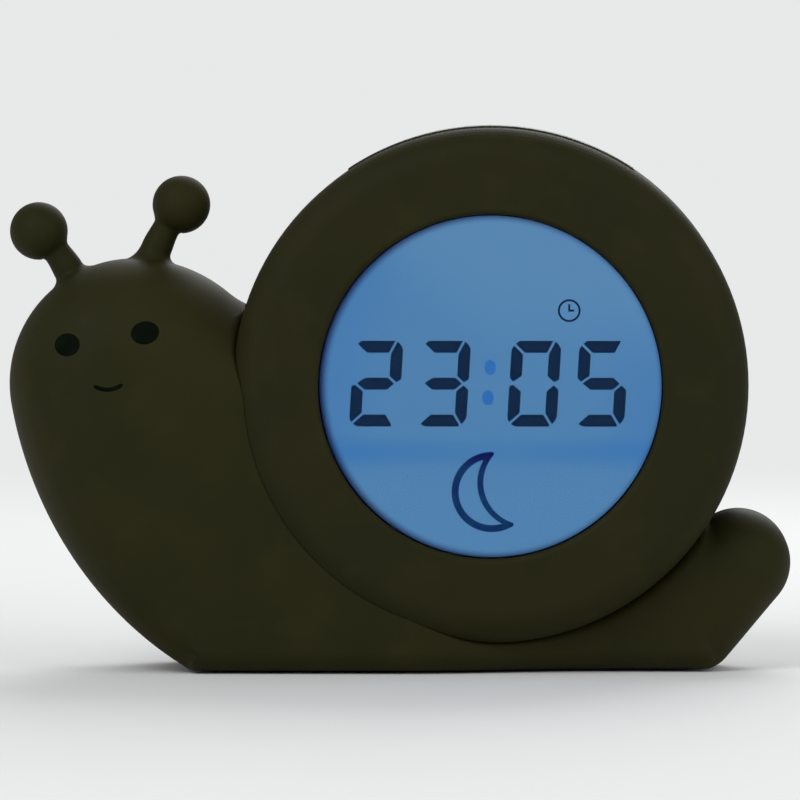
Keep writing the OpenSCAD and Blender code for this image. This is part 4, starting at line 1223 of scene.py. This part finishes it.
    def build(self, outline: SnailOutline, finish: bpy.types.Material) -> bpy.types.Object:
        """Builds the feeler.

        Args:
            outline: The snail's outline, which gives the head's surface.
            finish: Its material.

        Returns:
            The feeler.
        """
        spine = self._spine(outline)
        rows, start = self._foot(outline, spine)
        contact = math.asin((self.neck_r + self.neck_flare) / self.ball_r)
        neck_h = float(spine[1][-1]) - self.ball_r * math.cos(contact)
        stalk_l = neck_h - self.neck_l - start
        for share in np.linspace(0, 1, self.stalk_steps + 1)[1:]:
            radius = self.stalk_r + (self.neck_r - self.stalk_r) * float(smooth(share))
            rows.append(self._ring(spine, radius, start + stalk_l * share))
        out_r = self.ball_r * math.sin(contact)
        for share in np.linspace(0, 1, self.neck_steps + 1)[1:]:
            radius = self.neck_r + (out_r - self.neck_r) * share ** 2
            rows.append(self._ring(spine, radius, neck_h - self.neck_l + self.neck_l * share))
        rows += self._ball(spine, contact)
        points = np.vstack(rows)
        points[:, 2] += outline.pad_t
        faces = tube_faces(len(rows), self.spokes, capped=True)
        return new_piece(self.name, points, faces, finish, sharp=60)


@dataclass
class Face:
    """The feelers, the two eyes and the smile, laid out from the middle of the head."""

    outline: SnailOutline
    tilt: float = 9.0
    eye_h: float = 4.9
    eye_w: float = 6.1
    eyes_at: Span = (-5.05, 10.3)
    eye_spread: float = 17.1
    narrower: float = 0.91
    eye_rise: float = 0.32
    eye_sunk: float = 0.4
    smile: Span = (-4.75, 4.7)
    smile_r: float = 5.3
    smile_w: float = 0.9
    smile_half: float = 36.0
    smile_turn: float = 3.0
    smile_rise: float = 0.16
    smile_blunt: int = 10
    smile_tip: float = 0.03
    clear: float = 0.02

    def _on_skin(self, flat: Points, rise: Points | float) -> Points:
        """Lays flat places (x, z) on the head's front, at a rise over the skin."""
        depth = self.outline.skin(flat) + rise
        return np.column_stack([flat[:, 0], -depth, flat[:, 1] + self.outline.pad_t])

    def _eye(self, name: str, side: int, width: float,
             finish: bpy.types.Material) -> bpy.types.Object:
        """Builds one domed eye.

        Args:
            name: The piece's name.
            side: -1 for the left one, 1 for the right one.
            width: Its width.
            finish: Its material.

        Returns:
            The eye.
        """
        spokes, rings = 64, 12
        turn, tilt = spin(spokes), math.radians(self.tilt)
        centre = (self.outline.head_c + np.array(self.eyes_at)
                  + side * self.eye_spread / 2 * heading(self.tilt))
        rows = []
        for ring in range(1, rings + 2):
            share = min(ring, rings) / rings
            across, up = width / 2 * share * np.cos(turn), self.eye_h / 2 * share * np.sin(turn)
            flat = centre + np.column_stack([across * math.cos(tilt) - up * math.sin(tilt),
                                             across * math.sin(tilt) + up * math.cos(tilt)])
            rise = self.eye_rise * math.sqrt(max(0.0, 1 - share * share)) + self.clear
            rows.append(self._on_skin(flat, -self.eye_sunk if ring > rings else rise))
        rows += [self._on_skin(centre[None], rise) for rise in (self.eye_rise, -self.eye_sunk)]
        faces = tube_faces(rings + 1, spokes)
        tip, rim = (rings + 1) * spokes, rings * spokes
        for j in range(spokes):
            k = (j + 1) % spokes
            faces += [(k, j, tip), (rim + j, rim + k, tip + 1)]
        return new_piece(name, np.vstack(rows), faces, finish, sharp=60)

    def _smile(self, finish: bpy.types.Material) -> bpy.types.Object:
        """Builds the smile as a line that stands half out of the skin.

        Args:
            finish: Its material.

        Returns:
            The smile.
        """
        steps, sides = 48, 12
        centre = self.outline.head_c + np.array(self.smile)
        share = np.linspace(-1, 1, steps + 1)
        angles = 270 + self.smile_turn + self.smile_half * share
        taper = np.sqrt(np.clip(1 - np.abs(share) ** self.smile_blunt, self.smile_tip, 1))
        rows = []
        for angle, fade in zip(angles, taper):
            radius = self.smile_r + self.smile_w / 2 * fade * np.cos(spin(sides))
            rise = self.smile_rise * fade * np.sin(spin(sides)) + self.clear
            rows.append(self._on_skin(centre + radius[:, None] * heading(angle), rise))
        faces = tube_faces(steps + 1, sides, capped=True)
        return new_piece("smile", np.vstack(rows), faces, finish, sharp=70)

    def build(self, skin: bpy.types.Material, ink: bpy.types.Material) -> None:
        """Builds and places the feelers, the eyes and the smile.

        Args:
            skin: The feelers' material.
            ink: The material of eyes and smile.
        """
        for feeler in (Feeler("feeler_left", foot_turn=121.0, foot_sink=3.0,
                              low_turn=110.7, high_turn=133.6),
                       Feeler("feeler_right", foot_turn=81.9, foot_sink=1.4,
                              low_turn=75.3, high_turn=54.5)):
            stand_in(feeler.build(self.outline, skin), "feelers")
        stand_in(self._eye("eye_left", -1, self.eye_w * self.narrower, ink), "eyes")
        stand_in(self._eye("eye_right", 1, self.eye_w, ink), "eyes")
        stand_in(self._smile(ink), "mouth")


# ------------------------------------------------------------------ drum, display, batteries


@dataclass
class Drum:
    """The solids of the drum and its works, which keep their shape and get their finish."""

    display: str = "lcd_glass"

    def _dress(self, node: str, material: bpy.types.Material) -> None:
        """Gives a solid its material.

        Args:
            node: The solid's name.
            material: Its material.
        """
        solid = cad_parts[node]
        solid.data.materials.clear()
        solid.data.materials.append(material)
        log.info("%s: %s", node, material.name)

    def build(self) -> None:
        """Dresses every solid that is shown as it is."""
        for ware in Ware:
            material = ware.finish.material()
            for node in ware.nodes:
                self._dress(node, material)
        x, _, z = middle_of(self.display)
        self._dress(self.display, LitDisplay("lit_display", (x, z)).material())


@dataclass
class Cells:
    """The three dry cells in the bay: wrapped sleeves with a nub and an insulating ring."""

    pitch: float = 11.2
    radius: float = 5.22
    length: float = 44.5
    nub_l: float = 1.0
    bay: float = 50.0
    plate: float = 0.4
    cap_in: float = 0.4
    spokes: int = 48

    def _profile(self) -> list[Span]:
        """The cell's outline as (distance along it, radius), from its flat end to its nub.

        Returns:
            The corners of the outline.
        """
        body, r = self.length - self.nub_l, self.radius
        return [(0.0, 0.0), (0.0, 3.2), (0.15, 3.4), (0.15, 4.5), (0.0, 4.7), (0.1, r - 0.12),
                (0.4, r), (body - 0.5, r), (body - 0.12, r - 0.1), (body, r - 0.35),
                (body, 3.3), (body - 0.25, 3.2), (body - 0.25, 2.1), (body, 1.95),
                (self.length - 0.15, 1.9), (self.length, 1.7), (self.length, 0.0)]

    def _cell(self, name: str, centre: Triple, way: int, wrap: bpy.types.Material,
              cap: bpy.types.Material) -> bpy.types.Object:
        """Builds one cell.

        Args:
            name: The piece's name.
            centre: The middle of its place in the bay.
            way: 1 if its nub points to -X, -1 if it points to +X.
            wrap: The material of its sleeve.
            cap: The material of its ends.

        Returns:
            The cell.
        """
        x, y, z = centre
        start = x - way * (self.bay / 2 - self.plate - self.length)
        profile = self._profile()
        points = [(start - way * along, y + r * math.cos(turn), z + r * math.sin(turn))
                  for along, r in profile for turn in spin(self.spokes)]
        faces = tube_faces(len(profile), self.spokes)
        piece = new_piece(name, np.array(points), faces, wrap, sharp=35)
        work = bmesh.new()
        work.from_mesh(piece.data)
        bmesh.ops.remove_doubles(work, verts=work.verts, dist=1e-6)
        work.to_mesh(piece.data)
        work.free()
        piece.data.materials.append(cap)
        for face in piece.data.polygons:
            out = math.hypot(face.center.y / MM - y, face.center.z / MM - z)
            face.material_index = 1 if out < self.radius - self.cap_in else 0
        return piece

    def build(self) -> None:
        """Builds and places the cells."""
        x, y, z = middle_of("batteries")
        wrap, cap = CellWrap("cell_wrap", x).material(), CELL_CAP.material()
        for i in (-1, 0, 1):
            piece = self._cell(f"cell_{i + 2}", (x, y, z + i * self.pitch),
                               1 if i == 0 else -1, wrap, cap)
            stand_in(piece, "batteries")


# ------------------------------------------------------------------ studio


@dataclass
class Studio:
    """The pale floor, the soft lamps and the camera."""

    aim: Triple = (0.0, 0.0, 58.4)
    distance: float = 2000.0
    elevation: float = 2.5
    turn: float = 1.0
    width: float = 174.4
    pale: Colour = screen(232, 233, 233)
    room_light: float = 0.5
    floor_half: float = 9000.0
    floor_roughness: float = 0.7
    floor_dull: float = 0.1
    floor_specular: float = 0.2
    floor_grain: float = 4.0
    fade_at: Span = (260.0, 900.0)
    lamps: tuple[tuple[str, Triple, float, float], ...] = (
        ("key_lamp", (-700, -900, 900), 900, 9.0),
        ("fill_lamp", (900, -700, 500), 900, 4.0),
        ("back_lamp", (200, 900, 700), 800, 7.0))

    def _floor(self) -> None:
        """Lays the floor, which fades into the backdrop far out."""
        recipe = Recipe("floor")
        x, y, _ = recipe.along()
        far = ((x * x + y * y) ** 0.5).eased(*self.fade_at)
        rough = self.floor_roughness + recipe.noise(self.floor_grain) * self.floor_dull
        recipe.finish({"Base Color": self.pale, "Roughness": rough,
                       "Specular IOR Level": self.floor_specular})
        glow = recipe.signal(0, "ShaderNodeEmission", None, {"Color": self.pale, "Strength": 1.0})
        lit = Signal(recipe, recipe.surface.outputs[0])
        blend = recipe.signal(0, "ShaderNodeMixShader", None, {0: far, 1: lit, 2: glow})
        recipe.feed(recipe.tree.nodes["Material Output"].inputs["Surface"], blend)
        half = self.floor_half
        corners = np.array([(-half, -half, 0), (half, -half, 0), (half, half, 0),
                            (-half, half, 0)], dtype=float)
        new_piece("floor", corners, [(0, 1, 2, 3)], recipe.material)

    def _world(self) -> None:
        """Fills the room with even light, which the camera sees at full strength."""
        world = bpy.data.worlds.new("room")
        bpy.context.scene.world = world
        world.use_nodes = True
        wiring = Wiring(world.node_tree)
        path = wiring.node("ShaderNodeLightPath")
        seen = wiring.math("MAXIMUM", Signal(wiring, path.outputs["Is Camera Ray"]),
                           Signal(wiring, path.outputs["Is Transmission Ray"]))
        background = wiring.tree.nodes["Background"]
        wiring.feed(background.inputs["Color"], self.pale)
        wiring.feed(background.inputs["Strength"],
                    self.room_light + seen * (1 - self.room_light))

    def _lamp(self, name: str, place: Triple, size: float, power: float) -> None:
        """Hangs one soft square lamp that points at the clock.

        Args:
            name: The lamp's name.
            place: Where it hangs.
            size: Its side.
            power: Its power in watts.
        """
        light = bpy.data.lights.new(name, "AREA")
        light.shape, light.size, light.energy = "SQUARE", size * MM, power
        lamp = bpy.data.objects.new(name, light)
        lamp.location = Vector(place) * MM
        aim = Vector(self.aim) * MM
        lamp.rotation_euler = (aim - lamp.location).to_track_quat("-Z", "Y").to_euler()
        bpy.context.scene.collection.objects.link(lamp)

    def _camera(self) -> None:
        """Sets up the camera with its long lens."""
        lens = bpy.data.cameras.new("camera")
        lens.angle = 2 * math.atan(self.width / 2 / self.distance)
        lens.clip_end = 100.0
        camera = bpy.data.objects.new("camera", lens)
        up, turn = math.radians(self.elevation), math.radians(self.turn)
        away = Vector((math.sin(turn) * math.cos(up), -math.cos(turn) * math.cos(up),
                       math.sin(up)))
        camera.location = Vector(self.aim) * MM + away * self.distance * MM
        camera.rotation_euler = (-away).to_track_quat("-Z", "Y").to_euler()
        bpy.context.scene.collection.objects.link(camera)
        bpy.context.scene.camera = camera

    def build(self) -> None:
        """Builds floor, room light, lamps and camera."""
        bpy.context.scene.view_settings.view_transform = "Standard"
        self._floor()
        self._world()
        for lamp in self.lamps:
            self._lamp(*lamp)
        self._camera()
        log.info("studio ready")


def main() -> None:
    """Builds the scene, piece by piece."""
    logging.basicConfig(level=logging.INFO, format="%(name)s: %(message)s")
    Studio().build()
    Drum().build()
    outline = SnailOutline()
    skin, ink = OLIVE.material(), FACE_INK.material()
    SnailBody(outline).build(skin)
    Face(outline).build(skin, ink)
    Cells().build()


if __name__ == "__main__":
    main()
